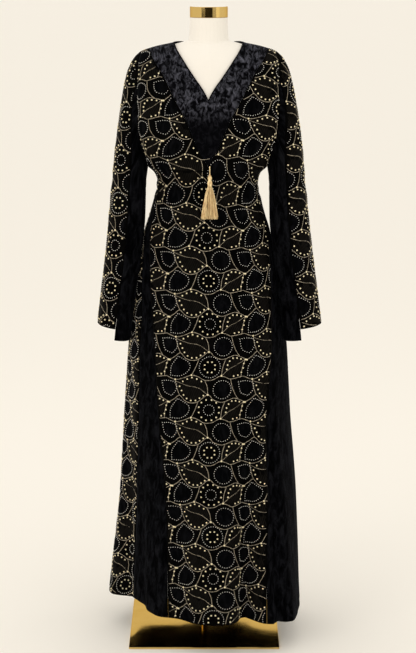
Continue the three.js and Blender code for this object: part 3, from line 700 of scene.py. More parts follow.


# painted sheen: the crushed pile's mask lays pale blue-grey patches in the base colour; below the chest
# they fade, as painted light from above
crush_and_painted_sheen = cloth_group("crushed_pile_and_painted_sheen", fine=1300, coarse=105, stretch=1.5, low=0.43, high=0.72)
crushed_velvet = cloth_look(
    "crushed_velvet", crush_and_painted_sheen, (0.0012, 0.0012, 0.0018), (0.092, 0.094, 0.118),
    roughness=0.72, amount=(1.335, 1.40), strength=0.75, sheen=(0.08, (0.5, 0.54, 0.68, 1), 0.3),
)
yoke_arcs = np.concatenate([np.linspace(YOKE_TIP + 0.3, NECK_TIP, 16), np.linspace(NECK_TIP, 90, 36)[1:]])
yoke_grids = collar_grids(-1, yoke_arcs, NECK_TIP, YOKE_EDGE, NECK_EDGE, 0)
cloth_piece("front_yoke", yoke_grids, crushed_velvet)
band_arcs = np.concatenate(
    [np.linspace(BAND_TIP + 0.26, BACK_NECK_TIP, 10), np.linspace(BACK_NECK_TIP, 90, 16)[1:]]
)
band_grids = collar_grids(1, band_arcs, BACK_NECK_TIP, BAND_EDGE, BACK_NECK_EDGE, 0.2)
cloth_piece("back_neck_band", band_grids, crushed_velvet)

# Sleeves: each an embroidered upper piece and a velvet piece under the arm, set in at the armhole
# and wide at the cuff. The velvet hangs one ring lower than the embroidered piece.
UPPER_LAST = 18

# each ring: outer edge x and z, inner edge x and z, half depth, how far the armhole has given way
SLEEVE = (
    (172, 1521, 152, 1230, 62, 0),
    (181, 1513, 152.3, 1228, 63, 0.1),
    (189, 1504, 152.6, 1225.5, 64, 0.2),
    (197, 1490, 153, 1223, 65, 0.32),
    (204, 1474, 153.4, 1220, 66, 0.45),
    (211, 1446, 153.9, 1216.5, 66, 0.6),
    (218, 1404, 154.4, 1213, 66, 0.75),
    (224.5, 1352, 154.9, 1209, 65, 0.88),
    (230, 1306, 155.5, 1204, 64, 0.96),
    (235, 1262, 156, 1198, 63, 1),
    (238, 1222, 156.5, 1190, 62, 1),
    (242, 1178, 157, 1176, 62, 1),
    (247, 1138, 157.5, 1138, 62, 1),
    (251.5, 1098, 158.5, 1098, 63, 1),
    (256, 1056, 162, 1056, 64, 1),
    (261, 1012, 166.5, 1012, 65, 1),
    (267.5, 958, 173, 958, 66, 1),
    (276, 894, 182, 892, 68, 1),
    (284.5, 831, 192, 818, 70, 1),
    (287.5, 804, 195, 788, 70, 1),
)
SLEEVE_RINGS = tuple((i, *row) for i, row in enumerate(SLEEVE))
SLEEVE_FORWARD = 34
SLEEVE_DROP = 700
SLEEVE_ROUND = 0.85
UNDERARM_EASE = 4
# how much wider each arm and cuff is, and the height and length over which it widens
ARM_WIDER = {-1: 2, 1: 7}
ARM_WIDENS = (1470, 150)
CUFF_WIDER = {-1: -7, 1: 3}
CUFF_WIDENS = (1180, 340)
ARM_CLEAR = 0.6
BODY_CLEAR = 1.6
CLEAR_OVER = 30
FRONT_SPLIT = 42.4
BACK_SPLIT = 40.5
SPLIT_GAP = 0.15
SLEEVE_COLUMNS = 14


def sleeve_point(hand, row, side, arc):
    """A sleeve point: row from the armhole (0) to the cuff, arc from the underarm (0) to the top."""
    out_x, out_z, in_x, in_z, depth, blend = (read(SLEEVE_RINGS, row, c) for c in range(1, 7))
    edge = bodice_point(side, EDGE_SHARE, arc)
    x0, z0, x1, z1 = SLEEVE[0][:4]
    dx0, dz0 = x0 - x1, z0 - z1
    span0 = math.hypot(dx0, dz0)
    fx = edge[..., 0] - LEAN * edge[..., 2] - x1
    fz = edge[..., 2] - z1
    along0 = (fx * dx0 + fz * dz0) / span0**2
    off0 = (fx * dz0 - fz * dx0) / span0
    dx, dz = out_x - in_x, out_z - in_z
    span = np.hypot(dx, dz)
    u = arc / 90
    along = along0 + (0.5 - 0.5 * np.cos(np.pi * u) - along0) * blend
    off = off0 * (1 - blend)
    wide = depth * np.sin(np.pi * u) ** SLEEVE_ROUND + UNDERARM_EASE * (1 - u) + SEAM
    wide0 = np.abs(edge[..., 1])
    forward = SLEEVE_FORWARD * np.clip((z0 - out_z) / SLEEVE_DROP, 0, 1)
    y = side * (wide0 + (wide - wide0) * blend) - forward
    x = in_x + dx * along + off * dz / span
    z = in_z + dz * along - off * dx / span
    arm, cuff = ((start - z) / length for start, length in (ARM_WIDENS, CUFF_WIDENS))
    wider = ARM_WIDER[hand] * np.clip(arm, 0, 1) + CUFF_WIDER[hand] * np.maximum(0, cuff)
    x = x + wider * along
    middle = hand * read(SWAY, z)
    angle = np.degrees(np.arctan2(hand * (x - middle), -y))
    clear = ARM_CLEAR + BODY_CLEAR * np.clip((ARMPIT_Z - z) / CLEAR_OVER, 0, 1)
    least = body_radius(angle, np.minimum(z, ARMPIT_Z)) + clear
    push = np.where((row > 0) & (z < ARMPIT_Z), np.maximum(1, least / np.hypot(x - middle, y)), 1)
    x = middle + (x - middle) * push
    return stacked(hand * (x + ARM_CLEAR) + LEAN * z, y * push, z)


def sleeve_columns(hand, rows, ways):
    """Columns of sleeve points, one for each (side, arc), which run the same way on both hands."""
    columns = [sleeve_point(hand, rows, side, np.full(len(rows), arc)) for side, arc in ways]
    return np.stack(columns[::hand], axis=1)


def sleeve_grid(hand, last, ways):
    """Grid of a sleeve piece: rows from the armhole to the cuff, columns the (side, arc) ways."""
    places = down_places(np.array(SLEEVE)[: last + 1, :2])
    even = np.linspace(0, places[-1], int(places[-1] / CLOTH_STEP))
    rows = np.interp(even, places, np.arange(last + 1))
    return sleeve_columns(hand, rows, ways)


upper_ways = [(-1, a) for a in np.linspace(FRONT_SPLIT + SPLIT_GAP, 90, SLEEVE_COLUMNS)]
upper_ways += [(1, a) for a in np.linspace(90, BACK_SPLIT + SPLIT_GAP, SLEEVE_COLUMNS)[1:]]
under_ways = [(1, a) for a in np.linspace(BACK_SPLIT - SPLIT_GAP, 0, SLEEVE_COLUMNS)]
under_ways += [(-1, a) for a in np.linspace(0, FRONT_SPLIT - SPLIT_GAP, SLEEVE_COLUMNS)]
upper_grids = {}
for hand, word in ((-1, "left"), (1, "right")):
    for part, ways, last, material, slot, flat in (
        ("upper", upper_ways, UPPER_LAST, ground, "embroidered_cloth", (0.21, 0.71)),
        ("under", under_ways, len(SLEEVE) - 1, velvet, "velvet", (0.48, 0.48)),
    ):
        points, normals = creased(sleeve_grid(hand, last, ways))
        along = row_places(points)
        along -= along[:, SLEEVE_COLUMNS - 1 : SLEEVE_COLUMNS]
        down = down_places(points[:, SLEEVE_COLUMNS - 1])
        grid = (points, normals, stacked(along, -down[:, None]))
        if part == "upper":
            upper_grids[hand] = grid
        cloth_piece(f"sleeve_{part}_{word}", [grid], material)

# Neck binding: the velvet's neck edge is turned over a narrow strip, which shows as a dark roll
# along the V in front and round the back of the neck.
BINDING_RADIUS = 1.5
BINDING_SIDES = 8


def spokes(aside, ahead, sides):
    """Unit directions round each point, from aside on towards ahead."""
    turn = 2 * np.pi * np.arange(sides) / sides
    return np.cos(turn)[None, :, None] * aside[:, None] + np.sin(turn)[None, :, None] * ahead[:, None]


def tube_faces(levels, sides, closed=False):
    """Faces of a tube through rings of points; a closed one joins its last ring to its first."""
    i, j = np.meshgrid(np.arange(levels if closed else levels - 1), np.arange(sides), indexing="ij")
    below, after = (i + 1) % levels * sides, (j + 1) % sides
    return np.stack([i * sides + j, below + j, below + after, i * sides + after], -1).reshape(-1, 4)


def roll(path, normals, radius, sides):
    """Points and faces of a closed roll along a closed path."""
    along = unit(np.roll(path, -1, axis=0) - np.roll(path, 1, axis=0))
    aside = unit(np.cross(along, normals))
    points = path[:, None] + radius * spokes(aside, np.cross(aside, along), sides)
    return points.reshape(-1, 3), tube_faces(len(path), sides, closed=True)


def neck_edge(grids, arcs, tip, channel):
    """The neck edge of a collar piece: down one side to the middle and up the other."""
    keep = arcs[::-1] >= tip - 1e-6
    return [*grids[0][channel][keep, -1], *grids[1][channel][keep, 0][::-1][1:]]


neck_line, neck_up = (
    np.array(
        neck_edge(yoke_grids, yoke_arcs, NECK_TIP, channel)
        + neck_edge(band_grids, band_arcs, BACK_NECK_TIP, channel)[1:-1]
    )
    for channel in (0, 1)
)
neck_line = neck_line - 0.5 * CLOTH * neck_up
binding_points, binding_faces = roll(neck_line, neck_up, BINDING_RADIUS, BINDING_SIDES)
binding = mesh_piece("neck_binding", binding_points, binding_faces, velvet, binding_points[:, [0, 2]])
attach(binding, "root")

# Embroidery: cream-brown chain stitch in long waving lines, with seed shapes ringed in small silver
# beads, leaves edged with gold studs, and a flower of studs. It is charted on a small repeat.
REPEAT_WIDE = 200
REPEAT_HIGH = 108.5

# the chart: places across and down the repeat, in millimetres from the middle of its flower
WAVE_UPPER = (
    (-112, 26), (-88, 34), (-66, 29), (-46, 21), (-28, 25), (-12, 33), (8, 32), (26, 23), (42, 26),
    (54, 31), (88, 26),
)
WAVE_LOWER = (
    (-104, 93), (-90, 84), (-76, 74), (-62, 87), (-46, 92), (-28, 88), (-3, 70), (12, 83), (32, 89),
    (52, 83), (64, 80), (77, 84), (96, 93),
)
CORDS = (
    WAVE_UPPER,
    WAVE_LOWER,
    ((-88, 34), (-84, 54), (-76, 74)),
    ((-12, 33), (-5, 50), (-3, 70)),
    ((54, 31), (60, 54), (68, 71), (77, 84)),
    ((-28, -20), (-35, -1), (-42, 14), (-46, 21)),
    ((40, -20), (33, 0), (30, 22)),
    ((92, -17), (84, 8), (82, 26)),
    ((30, 22), (50, 5), (68, -3), (92, -17)),
    ((-88, 38), (-57, 48), (-28, 53), (-3, 70)),
)
SEED = ((-101, 24), (-101, 24), (-99, 0), (-81, -26), (-81, -26), (-52, -9), (-55, 11), (-75, 24))
BUD = ((76, 40), (76, 40), (96, 38), (114, 43), (115, 60), (103, 76), (103, 76), (83, 67))
# a round seed: its middle, radius and beads
ROUND = (33, 57, 23, 24)
LEAF = (
    (-84, 37), (-66, 32), (-46, 24), (-28, 28), (-14, 36), (-7, 52), (-6, 68), (-28, 84), (-46, 88),
    (-62, 83), (-74, 70), (-81, 54),
)
SMALL_LEAF = (
    (40, -17), (52, -22), (64, -25), (77, -21), (88, -14), (81, 8), (78, 23), (54, 27), (34, 19), (36, 0),
)
STUD_LINES = (
    ((-68, 38), (-44, 27), (-20, 36)),
    ((-76, 51), (-61, 78), (-38, 86), (-14, 72)),
    ((43, 6), (47, -10), (60, -22), (80, -18)),
    ((88, -6), (86, 8), (78, 21), (62, 24)),
)
KNOTS = ((-46, 21), (-88, 34), (30, 22), (-3, 70), (92, -16), (-104, 93))
# the two kinds of flower, each with a ring of beads and one of studs: radius, count
FLOWERS = {True: ((26.5, 28), (14, 8)), False: ((13.5, 14), (26.5, 12))}
CORD_STEP = 4.0
CORD_HALF = 0.88
CORD_HIGH = 0.85
CORD_SUNK = 0.2
CORD_UNDER = 0.25
BEAD_STEP = 6.0
STUD_STEP = 12.2
# radius, height and sides
BEAD = (1.12, 1.5, 6)
STUD = (2.35, 2.1, 8)
KNOT = (2.7, 2.0, 8)
# a dome's shoulder: share of its radius and of its height
SHOULDER_OUT = 0.72
SHOULDER_UP = 0.7
DOME_SUNK = 0.1
MAP_STEP = 3.0
EDGE_ROOM = 2.0
# how much of its outline a patch fills, and how far it stands out
PILE = (0.86, 0.75)
SHEER = (0.98, 0.35)
PATCH_SHARES = (0.0, 0.4, 0.75, 1.0)
PATCH_SUNK = 0.3
LEAST_FACES = 6
# the corners of a face, taken the other way round
OTHER_WAY_ROUND = [0, 3, 2, 1]


def flat_map(points, normals, along, down, room):
    """The cloth laid flat: an even lattice over (across, down) with the place, direction and room
    to the piece's edges at each point."""
    across = np.arange(along.min(), along.max() + MAP_STEP, MAP_STEP)
    rows = []
    for i in range(len(down)):
        edge = np.minimum(across - along[i, 0], along[i, -1] - across)
        channels = (*points[i].T, *normals[i].T, room[i])
        values = [np.interp(across, along[i], channel) for channel in channels]
        values[6] = np.minimum(values[6], edge)
        rows.append(np.stack(values, -1))
    rows = np.array(rows)
    depths = np.arange(down[0], down[-1], MAP_STEP)
    k = np.clip(np.searchsorted(down, depths, side="right") - 1, 0, len(down) - 2)
    t = ((depths - down[k]) / (down[k + 1] - down[k]))[:, None, None]
    lattice = rows[k] * (1 - t) + rows[k + 1] * t
    end = np.minimum(depths - down[0], down[-1] - depths)[:, None]
    lattice[..., 6] = np.minimum(lattice[..., 6], end)
    return across[0], depths[0], lattice


def place(flat, u, v):
    """Points, directions and room at flat places u across and v down."""
    start_u, start_v, lattice = flat
    high, wide = lattice.shape[:2]
    x, y = (np.asarray(u) - start_u) / MAP_STEP, (np.asarray(v) - start_v) / MAP_STEP
    out = (x < 0) | (y < 0) | (x > wide - 1) | (y > high - 1)
    i, j = np.clip(x.astype(int), 0, wide - 2), np.clip(y.astype(int), 0, high - 2)
    s, t = np.clip(x - i, 0, 1)[..., None], np.clip(y - j, 0, 1)[..., None]
    near = lattice[j, i] * (1 - s) + lattice[j, i + 1] * s
    far = lattice[j + 1, i] * (1 - s) + lattice[j + 1, i + 1] * s
    found = near * (1 - t) + far * t
    return found[..., :3], unit(found[..., 3:6]), np.where(out, -1.0, found[..., 6])


def smooth_line(chart, closed=False, fine=10):
    """A smooth line through charted points."""
    p = np.array(chart, float)
    if closed:
        p = np.concatenate([p[-1:], p, p[:2]])
    else:
        p = np.concatenate([[2 * p[0] - p[1]], p, [2 * p[-1] - p[-2]]])
    t = np.linspace(0, 1, fine, endpoint=False)[None, :, None]
    a, b, c, d = (p[i : len(p) - 3 + i][:, None] for i in range(4))
    line = 0.5 * (2 * b + (c - a) * t + (2 * a - 5 * b + 4 * c - d) * t**2 + (3 * b - a - 3 * c + d) * t**3)
    line = line[np.any(b != c, axis=(1, 2))].reshape(-1, 2)
    return line if closed else np.concatenate([line, p[-2:-1]])


def even_line(line, step, closed=False):
    """The same line at even steps."""
    line = np.concatenate([line, line[:1]]) if closed else line
    places = down_places(line)
    count = max(1, round(places[-1] / step))
    wanted = places[-1] * np.arange(count + (0 if closed else 1)) / count
    return np.stack([np.interp(wanted, places, line[:, i]) for i in (0, 1)], -1)


def circle(u, v, radius, count):
    turn = 2 * np.pi * (np.arange(count) + 0.5) / count
    return np.stack([u + radius * np.sin(turn), v - radius * np.cos(turn)], -1)


cord_lines = [even_line(smooth_line(chart), CORD_STEP) for chart in CORDS]
bead_rings = [
    even_line(smooth_line(SEED, True), BEAD_STEP, True),
    even_line(smooth_line(BUD, True), BEAD_STEP, True),
    circle(*ROUND),
]
pile_outlines = [smooth_line(SEED, True, 5), smooth_line(BUD, True, 5), circle(*ROUND[:3], 28)]
sheer_outlines = [smooth_line(LEAF, True, 3), smooth_line(SMALL_LEAF, True, 3)]
stud_places = np.concatenate([even_line(smooth_line(line), STUD_STEP) for line in STUD_LINES])


def repeats(flat, phase):
    """Where each repeat falls on this cloth, and whether its flower is the first kind."""
    start_u, start_v, lattice = flat
    end_u = start_u + lattice.shape[1] * MAP_STEP
    end_v = start_v + lattice.shape[0] * MAP_STEP
    first = int((start_v - phase) // REPEAT_HIGH) - 1
    last = int((end_v - phase) // REPEAT_HIGH) + 1
    for m in range(int(start_u // REPEAT_WIDE) - 1, int(end_u // REPEAT_WIDE) + 2):
        for n in range(first, last + 1):
            yield m * REPEAT_WIDE, phase + n * REPEAT_HIGH, n % 2 == 0


def cord_ribbons(flat, phase):
    """Points, faces and uv of every cord: low rounded ribbons, each run closed at its ends."""
    points, faces, uv = [], [], []
    base = 0
    for du, dv, _ in repeats(flat, phase):
        for line in cord_lines:
            at, up, room = place(flat, line[:, 0] + du, line[:, 1] + dv)
            good = room > EDGE_ROOM
            changes = np.flatnonzero(np.diff(np.concatenate([[0], good.astype(int), [0]])))
            for start, end in changes.reshape(-1, 2):
                if end - start < 2:
                    continue
                p, n = at[start:end], up[start:end]
                side = CORD_HALF * np.cross(unit(np.gradient(p, axis=0)), n)
                p = p - CORD_SUNK * n
                ring = np.stack([p - side, p + CORD_HIGH * n, p + side, p - CORD_UNDER * n], 1)
                points.append(ring.reshape(-1, 3))
                run = CORD_STEP * np.arange(end - start)
                uv.append(stacked(np.arange(4), run[:, None]).reshape(-1, 2))
                faces += (base + tube_faces(end - start, 4)[:, OTHER_WAY_ROUND]).tolist()
                last = base + 4 * (end - start - 1)
                faces += [[base + 3, base + 2, base + 1, base], [last, last + 1, last + 2, last + 3]]
                base = last + 4
    return np.concatenate(points), faces, np.concatenate(uv)


def sewn_domes(flat, places, radius, high, sides):
    """Small closed domes sewn at flat places; the number of sides sets how round they are."""
    places = np.concatenate(places)
    at, up, room = place(flat, places[:, 0], places[:, 1])
    good = room > EDGE_ROOM + radius
    at, up = at[good], up[good]
    aside = unit(np.cross(up, [0.0, 0.0, 1.0]))
    wide = radius * spokes(aside, np.cross(up, aside), sides)
    at, lift = at[:, None], up[:, None]
    low = at + wide - DOME_SUNK * lift
    middle = at + SHOULDER_OUT * wide + SHOULDER_UP * high * lift
    points = np.concatenate([low, middle, at + high * lift], axis=1)
    wall = tube_faces(2, sides)[:, OTHER_WAY_ROUND]
    cap = stacked(wall[:, 3], wall[:, 2], 2 * sides)
    base = np.arange(sides)[::-1]
    faces = []
    for start in points.shape[1] * np.arange(len(at)):
        faces += (wall + start).tolist() + (cap + start).tolist() + [(base + start).tolist()]
    return points.reshape(-1, 3), faces


def patches(flat, phase, outlines, filled, lift):
    """Closed thin patches inside charted outlines, cut off where the cloth ends."""
    points, normals, faces, uv = [], [], [], []
    count = 0
    for du, dv, _ in repeats(flat, phase):
        for outline in outlines:
            centre = outline.mean(axis=0)
            charted = np.stack(
                [centre + filled * share * (outline - centre) + (du, dv) for share in PATCH_SHARES]
            )
            at, up, room = place(flat, charted[..., 0], charted[..., 1])
            good = room > EDGE_ROOM
            ids = count + np.arange(good.size).reshape(good.shape)
            quads, whole = (
                np.stack([g[:-1], g[1:], np.roll(g[1:], -1, 1), np.roll(g[:-1], -1, 1)], -1)
                for g in (ids, good)
            )
            quads = quads[whole.all(axis=-1)]
            # the innermost ring is one point
            quads[quads < count + good.shape[1]] = count
            if len(quads) < LEAST_FACES:
                continue
            faces.append(quads[:, ::-1])
            points.append((at + lift * up).reshape(-1, 3))
            normals.append(up.reshape(-1, 3))
            uv.append(charted.reshape(-1, 2))
            count += good.size
    points, normals, faces, uv = (np.concatenate(part) for part in (points, normals, faces, uv))
    made, faces = closed_wall(points, normals, faces, lift + PATCH_SUNK)
    return made, faces, np.concatenate([uv, uv])


# chain stitch thread: loops along the run, painted dark in the dips between loops as painted shade and
# light on their tops as painted highlight, and brighter or darker at random along the cords
THREAD_DARK = (0.13, 0.105, 0.07)
THREAD_LIGHT = (0.84, 0.72, 0.52)
thread, tree, shader = new_material("chain_stitch_thread_painted_shading", (0.30, 0.235, 0.155), 0.55)
flat_uv = flat_places(tree)
loops = node(
    tree, "ShaderNodeTexWave", {"Vector": flat_uv, "Scale": 90, "Distortion": 1.2}, bands_direction="Y",
)
random_brightness = ranged(tree, noise(tree, 120, 3, Vector=flat_uv), 0.36, 0.64, 0.05, 1.05)
# painted shade and highlight: the loops darken the base colour in their dips and lighten it on their tops
two_tones(tree, shader, product(tree, (loops, "Fac"), random_brightness), THREAD_DARK, THREAD_LIGHT)
bumped(tree, shader, (loops, "Fac"), 0.6, 0.0006)
shader.inputs["Sheen Weight"].default_value = 0.3

BEAD_RUB = 0.15


def bead_material(name, dark, light, roughness, metallic):
    """A bead finish whose tone and roughness differ a little from bead to bead."""
    material, tree, shader = new_material(name, light, roughness, metallic)
    spread = noise(tree, 420, 1, Vector=own_places(tree))
    two_tones(tree, shader, spread, dark, light)
    feed(tree, ranged(tree, spread, 0, 1, roughness, roughness + BEAD_RUB), shader, "Roughness")
    return material


silver_bead = bead_material("silver_bead", (0.62, 0.61, 0.57), (1.0, 0.98, 0.92), 0.3, 0.15)
gold_stud = bead_material("gold_stud", (0.85, 0.68, 0.36), (1.0, 0.95, 0.72), 0.24, 0.45)
# painted sheen: the nap mask lays pale blue-grey patches in the pile's base colour
pile = cloth_look(
    "leaf_pile_painted_sheen", nap_and_painted_sheen, (0.0008, 0.0009, 0.0012), (0.0056, 0.0058, 0.0070),
    roughness=0.9, amount=0.7, strength=0.6, sheen=(0.015, (0.4, 0.45, 0.6, 1), 0.35),
)

# sheer leaf ground: dark brown net with fine darning lines
NET_DARK = (0.0004, 0.0004, 0.0003)
NET_LIGHT = (0.0145, 0.0125, 0.0105)
sheer, tree, shader = new_material("darned_net", (0.03, 0.024, 0.018), 0.7)
flat_uv = flat_places(tree)
slant = node(tree, "ShaderNodeMapping", {"Vector": flat_uv, "Rotation": (0, 0, 0.35)})
lines = node(
    tree, "ShaderNodeTexWave", {"Vector": (slant, "Vector"), "Scale": 72, "Distortion": 2.4, "Detail": 2},
)
patchy = noise(tree, 70, 3, Vector=flat_uv)
two_tones(tree, shader, product(tree, (lines, "Fac"), patchy), NET_DARK, NET_LIGHT)
bumped(tree, shader, (lines, "Fac"), 0.3, 0.0005)
shader.inputs["Specular IOR Level"].default_value = 0.02


def embroider(name, flat, phase):
    """All the stitching on one cloth, in pieces of like work."""
    beads, studs, knots = [], [], []
    for du, dv, first_kind in repeats(flat, phase):
        shift = np.array([du, dv])
        bead_ring, stud_ring = FLOWERS[first_kind]
        beads += [ring + shift for ring in bead_rings]
        beads.append(circle(du, dv, *bead_ring))
        studs += [stud_places + shift, circle(du, dv, *stud_ring)]
        knots.append(np.array(KNOTS, float) + shift)
    stud_points, stud_faces = sewn_domes(flat, studs, *STUD)
    knot_points, knot_faces = sewn_domes(flat, knots, *KNOT)
    stud_faces += [[v + len(stud_points) for v in face] for face in knot_faces]
    stud_points = np.concatenate([stud_points, knot_points])
    made = (
        ("cords", *cord_ribbons(flat, phase), thread, "gold_thread"),
        ("beads", *sewn_domes(flat, beads, *BEAD), None, silver_bead, "embroidered_cloth"),
        ("studs", stud_points, stud_faces, None, gold_stud, "embroidered_cloth"),
        ("pile", *patches(flat, phase, pile_outlines, *PILE), pile, "velvet"),
        ("net", *patches(flat, phase, sheer_outlines, *SHEER), sheer, "embroidered_cloth"),
    )
    for kind, points, faces, uv, material, slot in made:
        piece = mesh_piece(f"{name}_{kind}", points, faces, material, uv)
        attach(piece, "root")


# over the bust the stitching is drawn down and wanders: from and to where, how far, and its waves
BUST_ROWS = (-60, 75)
BUST_PULL = 26
BUST_WANDER = 4.0
LONG_WAVE = (29, 47)
SHORT_WAVE = (17, 31)
# height, then the angle by which the cloth's centre line has swung
GRAIN = ((82, 4), (200, 3.4), (450, 1), (600, 0.6), (1150, 0.6), (1230, 0))
STRAIGHT = ((82, 0), (1230, 0))
FRONT_SHIFT = 9.5
# rows of the first flower
FRONT_ROW = 284.8
BACK_ROW = 262.0
# for each sleeve: the row of the first flower, where its centre line starts, and how far it drifts
SLEEVE_CHART = {-1: (392.0, 50.0, 0.033), 1: (331.0, -19.0, 0.0)}
ARMHOLE_PLAIN = 5
CHART_TOP = 1100
CHART_LOW = 850
NO_EDGE = 1000.0


def panel_map(whole, arcs, tip, notch, columns, grain, shift):
    """The flat map of a panel; grain is how far its centre line has swung at each height."""
    points, normals = whole
    along = row_places(points)
    centre = points[:, columns]
    down = panel_down(centre, arcs)
    swing = np.radians(read(grain, centre[:, 2]))
    swing *= body_radius(0.0, np.minimum(centre[:, 2], ARMPIT_Z))
    along = along - along[:, columns : columns + 1] - swing[:, None] + shift
    above = 1 - soft_step(down, *BUST_ROWS)
    wander = np.sin(down[:, None] / LONG_WAVE[0]) * np.sin(along / LONG_WAVE[1] + 1)
    wander += 0.6 * np.sin(down[:, None] / SHORT_WAVE[0] + along / SHORT_WAVE[1])
    along = along + BUST_WANDER * above[:, None] * wander
    down = down + BUST_PULL * above
    room = np.full(along.shape, NO_EDGE)
    for i, arc in enumerate(arcs[::-1]):
        if arc > tip:
            room[i] = np.abs(points[i, :, 0] - LEAN * points[i, :, 2]) - read(notch, arc)
    return flat_map(points, normals, along, down, room)


def sleeve_map(hand, start, drift):
    """The flat map of an upper sleeve, read in level slices, so that its rows run straight across."""
    rows = np.linspace(0, UPPER_LAST, 20 * UPPER_LAST + 1)
    ladder = sleeve_columns(hand, rows, upper_ways)
    top, end = ladder[0, :, 2], ladder[-1, :, 2]
    levels = np.linspace(top.max(), end.min(), int(np.ptp(ladder[..., 2]) / CLOTH_STEP))
    columns = [
        np.stack([np.interp(levels, ladder[::-1, j, 2], ladder[::-1, j, axis]) for axis in range(3)], -1)
        for j in range(ladder.shape[1])
    ]
    points, normals = creased(np.stack(columns, 1))
    along = row_places(points)
    inside = np.minimum(along - along[:, :1], along[:, -1:] - along)
    below = top - levels[:, None] - ARMHOLE_PLAIN
    room = np.minimum(inside, np.minimum(below, levels[:, None] - end))
    ridge = upper_grids[hand][0][:, SLEEVE_COLUMNS - 1]
    high, low = np.interp((-CHART_TOP, -CHART_LOW), -ridge[:, 2], down_places(ridge))
    down = high + (low - high) * (CHART_TOP - levels) / (CHART_TOP - CHART_LOW)
    along = along - along[:, SLEEVE_COLUMNS - 1 : SLEEVE_COLUMNS] - start - drift * down[:, None]
    return flat_map(points, normals, along, down, room)


front_cut = (front_whole, FRONT_ARCS, YOKE_TIP, YOKE_EDGE, FRONT_COLUMNS)
back_cut = (back_whole, BACK_ARCS, BAND_TIP, BAND_EDGE, BACK_COLUMNS)
embroider("front", panel_map(*front_cut, GRAIN, FRONT_SHIFT), FRONT_ROW)
embroider("back", panel_map(*back_cut, STRAIGHT, 0), BACK_ROW)
for hand, word in ((-1, "left"), (1, "right")):
    row, start, drift = SLEEVE_CHART[hand]
    embroider(f"sleeve_{word}", sleeve_map(hand, start, drift), row)

# Tassel: silky gold thread, wound round the middle and let fall in a skirt of loose strands, on a
# short twisted cord sewn to the point of the yoke.
TASSEL_X = 5
TASSEL_TOP = 1243
TASSEL_END = 1110
TASSEL_OFF = 1.8
TASSEL_FLAT = 0.42
TASSEL_LEAN = 5
SILK_DARK = (0.46, 0.20, 0.05)
SILK_LIGHT = (1.0, 0.80, 0.43)
# the cord's threads: how far they lie from its middle, their radius, and their turn for each mm
CORD_END = 1220
CORD_THREAD = (0.62, 0.78)
CORD_TURN = 0.9
# height and radius of the wound head, from the cord down
HEAD = (
    (1222, 1.6), (1220, 3.0), (1217, 4.4), (1214, 5.4), (1211, 5.2), (1209, 4.0), (1207.5, 4.2),
    (1206, 5.2), (1203.5, 6.0), (1200, 6.4), (1197, 6.2), (1196, 5.6), (1193, 5.2),
)
HEAD_SIDES = 20
WOUND_TURNS = 66
WOUND_SHARE = 0.96
WOUND_RIDGE = 0.28
STRANDS = 236
STRAND_HALF = 0.55
STRAND_START = 1194
STRAND_UNEVEN = 9
STRAND_BOW = 0.9
STRAND_DRIFT = 0.8
# how far the outermost strands are from the middle: at the top, further at the end, and the curve
STRAND_SPREAD = (4.4, 16.6, 0.72)


def round_ring(x, y, z, radius, sides, first=0.0):
    turn = first + 2 * np.pi * np.arange(sides) / sides
    return stacked(x + radius * np.cos(turn), y + radius * np.sin(turn), float(z))


hang_x = TASSEL_X + LEAN * TASSEL_TOP
hang_y = bodice_point(-1, 0.0, 1.0)[1] - TASSEL_OFF
draw = np.random.default_rng(7)
tassel_points, tassel_faces, tassel_uv = [], [], []


def add_bar(rings, along, across):
    """Adds a closed bar through rings of points, the first at the top, with its own run of thread."""
    levels, sides = len(rings), len(rings[0])
    start = sum(map(len, tassel_points))
    ends = np.arange(sides), (levels - 1) * sides + np.arange(sides)[::-1]
    tassel_faces.extend((start + tube_faces(levels, sides)).tolist())
    tassel_faces.extend((start + end).tolist() for end in ends)
    tassel_points.append(np.reshape(rings, (-1, 3)))
    tassel_uv.append(stacked(across + 0.4 * np.arange(sides), along[:, None]).reshape(-1, 2))


# the cord: two threads twisted round each other
levels = np.linspace(TASSEL_TOP, CORD_END, 24)
off, radius = CORD_THREAD
for strand in (0, 1):
    rings = [
        round_ring(hang_x + off * np.cos(way), hang_y + off * np.sin(way), z, radius, 6)
        for way, z in zip(np.pi * strand + levels * CORD_TURN, levels)
    ]
    add_bar(rings, levels, 10.0 * strand)
# the head: turns of thread wound side by side, each a small ridge
wound = np.linspace(HEAD[0][0], HEAD[-1][0], WOUND_TURNS)
thick = WOUND_SHARE * read([(-z, r) for z, r in HEAD], -wound) + WOUND_RIDGE * (np.arange(WOUND_TURNS) % 2)
add_bar([round_ring(hang_x, hang_y, z, r, HEAD_SIDES) for z, r in zip(wound, thick)], wound, 40.0)
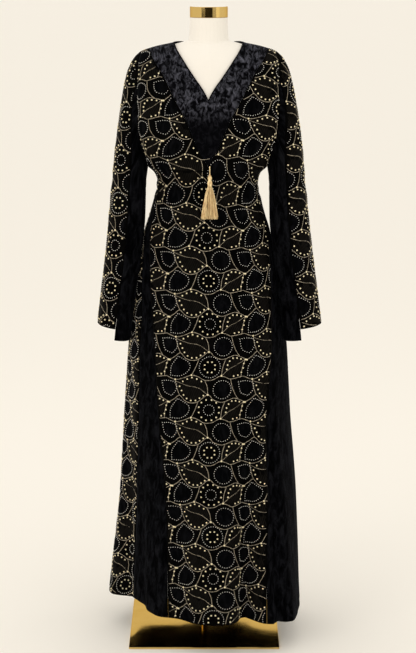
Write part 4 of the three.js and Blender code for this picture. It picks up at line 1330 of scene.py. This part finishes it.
# the skirt: loose strands, thicker towards their uneven ends
shares = np.linspace(0, 1, 7)
top, further, curve = STRAND_SPREAD
for s in range(STRANDS):
    way = draw.uniform(0, 2 * np.pi)
    far = math.sqrt(draw.uniform(0.02, 1.0))
    end = TASSEL_END + draw.uniform(0, STRAND_UNEVEN) * (0.4 + 0.6 * draw.uniform())
    bow = draw.normal(0, STRAND_BOW)
    drift = draw.normal(0, STRAND_DRIFT)
    rings = []
    for share in shares:
        spread = far * (top + further * share**curve)
        x = hang_x + spread * np.cos(way) + bow * np.sin(np.pi * share) + drift * share
        y = hang_y + spread * np.sin(way) * (1 - TASSEL_FLAT * share) - TASSEL_LEAN * share
        z = STRAND_START - (STRAND_START - end) * share
        rings.append(round_ring(x, y, z, STRAND_HALF * (0.8 + 0.5 * share), 3, way))
    add_bar(rings, shares * 90, 60.0 + 3 * s)

silk, tree, shader = new_material("gold_silk_thread", (0.62, 0.42, 0.17), 0.34)
drawn_out = node(tree, "ShaderNodeMapping", {"Vector": flat_places(tree), "Scale": (900, 60, 1)})
strand_tone = ranged(tree, noise(tree, 1.0, 2, Vector=(drawn_out, "Vector")), 0.34, 0.54)
two_tones(tree, shader, strand_tone, SILK_DARK, SILK_LIGHT)
bumped(tree, shader, strand_tone, 0.4, 0.0004)
shader.inputs["Sheen Weight"].default_value = 0.5
shader.inputs["Sheen Tint"].default_value = (1.0, 0.78, 0.45, 1)
tassel = mesh_piece(
    "tassel_threads", np.concatenate(tassel_points), tassel_faces, silk, np.concatenate(tassel_uv),
)
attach(tassel, "root")
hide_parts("tassel")

# Dress form: a padded torso covered in smooth cream jersey, cut off level at the hips and at the
# neck, with a cream disc in the gold cap. It stands inside the dress and carries its shoulders.
JERSEY = (0.885, 0.85, 0.785)
JERSEY_SHADE = (0.845, 0.80, 0.725)

jersey, tree, shader = new_material("cream_jersey", JERSEY, 0.85)
on_form = own_places(tree)
two_tones(tree, shader, noise(tree, 9, 3, Vector=on_form), JERSEY_SHADE, JERSEY)
bumped(tree, shader, noise(tree, 1400, 2, Vector=on_form), 0.12, 0.0004)
shader.inputs["Sheen Weight"].default_value = 0.15
dress(("form_torso", "neck_cap_top"), jersey)
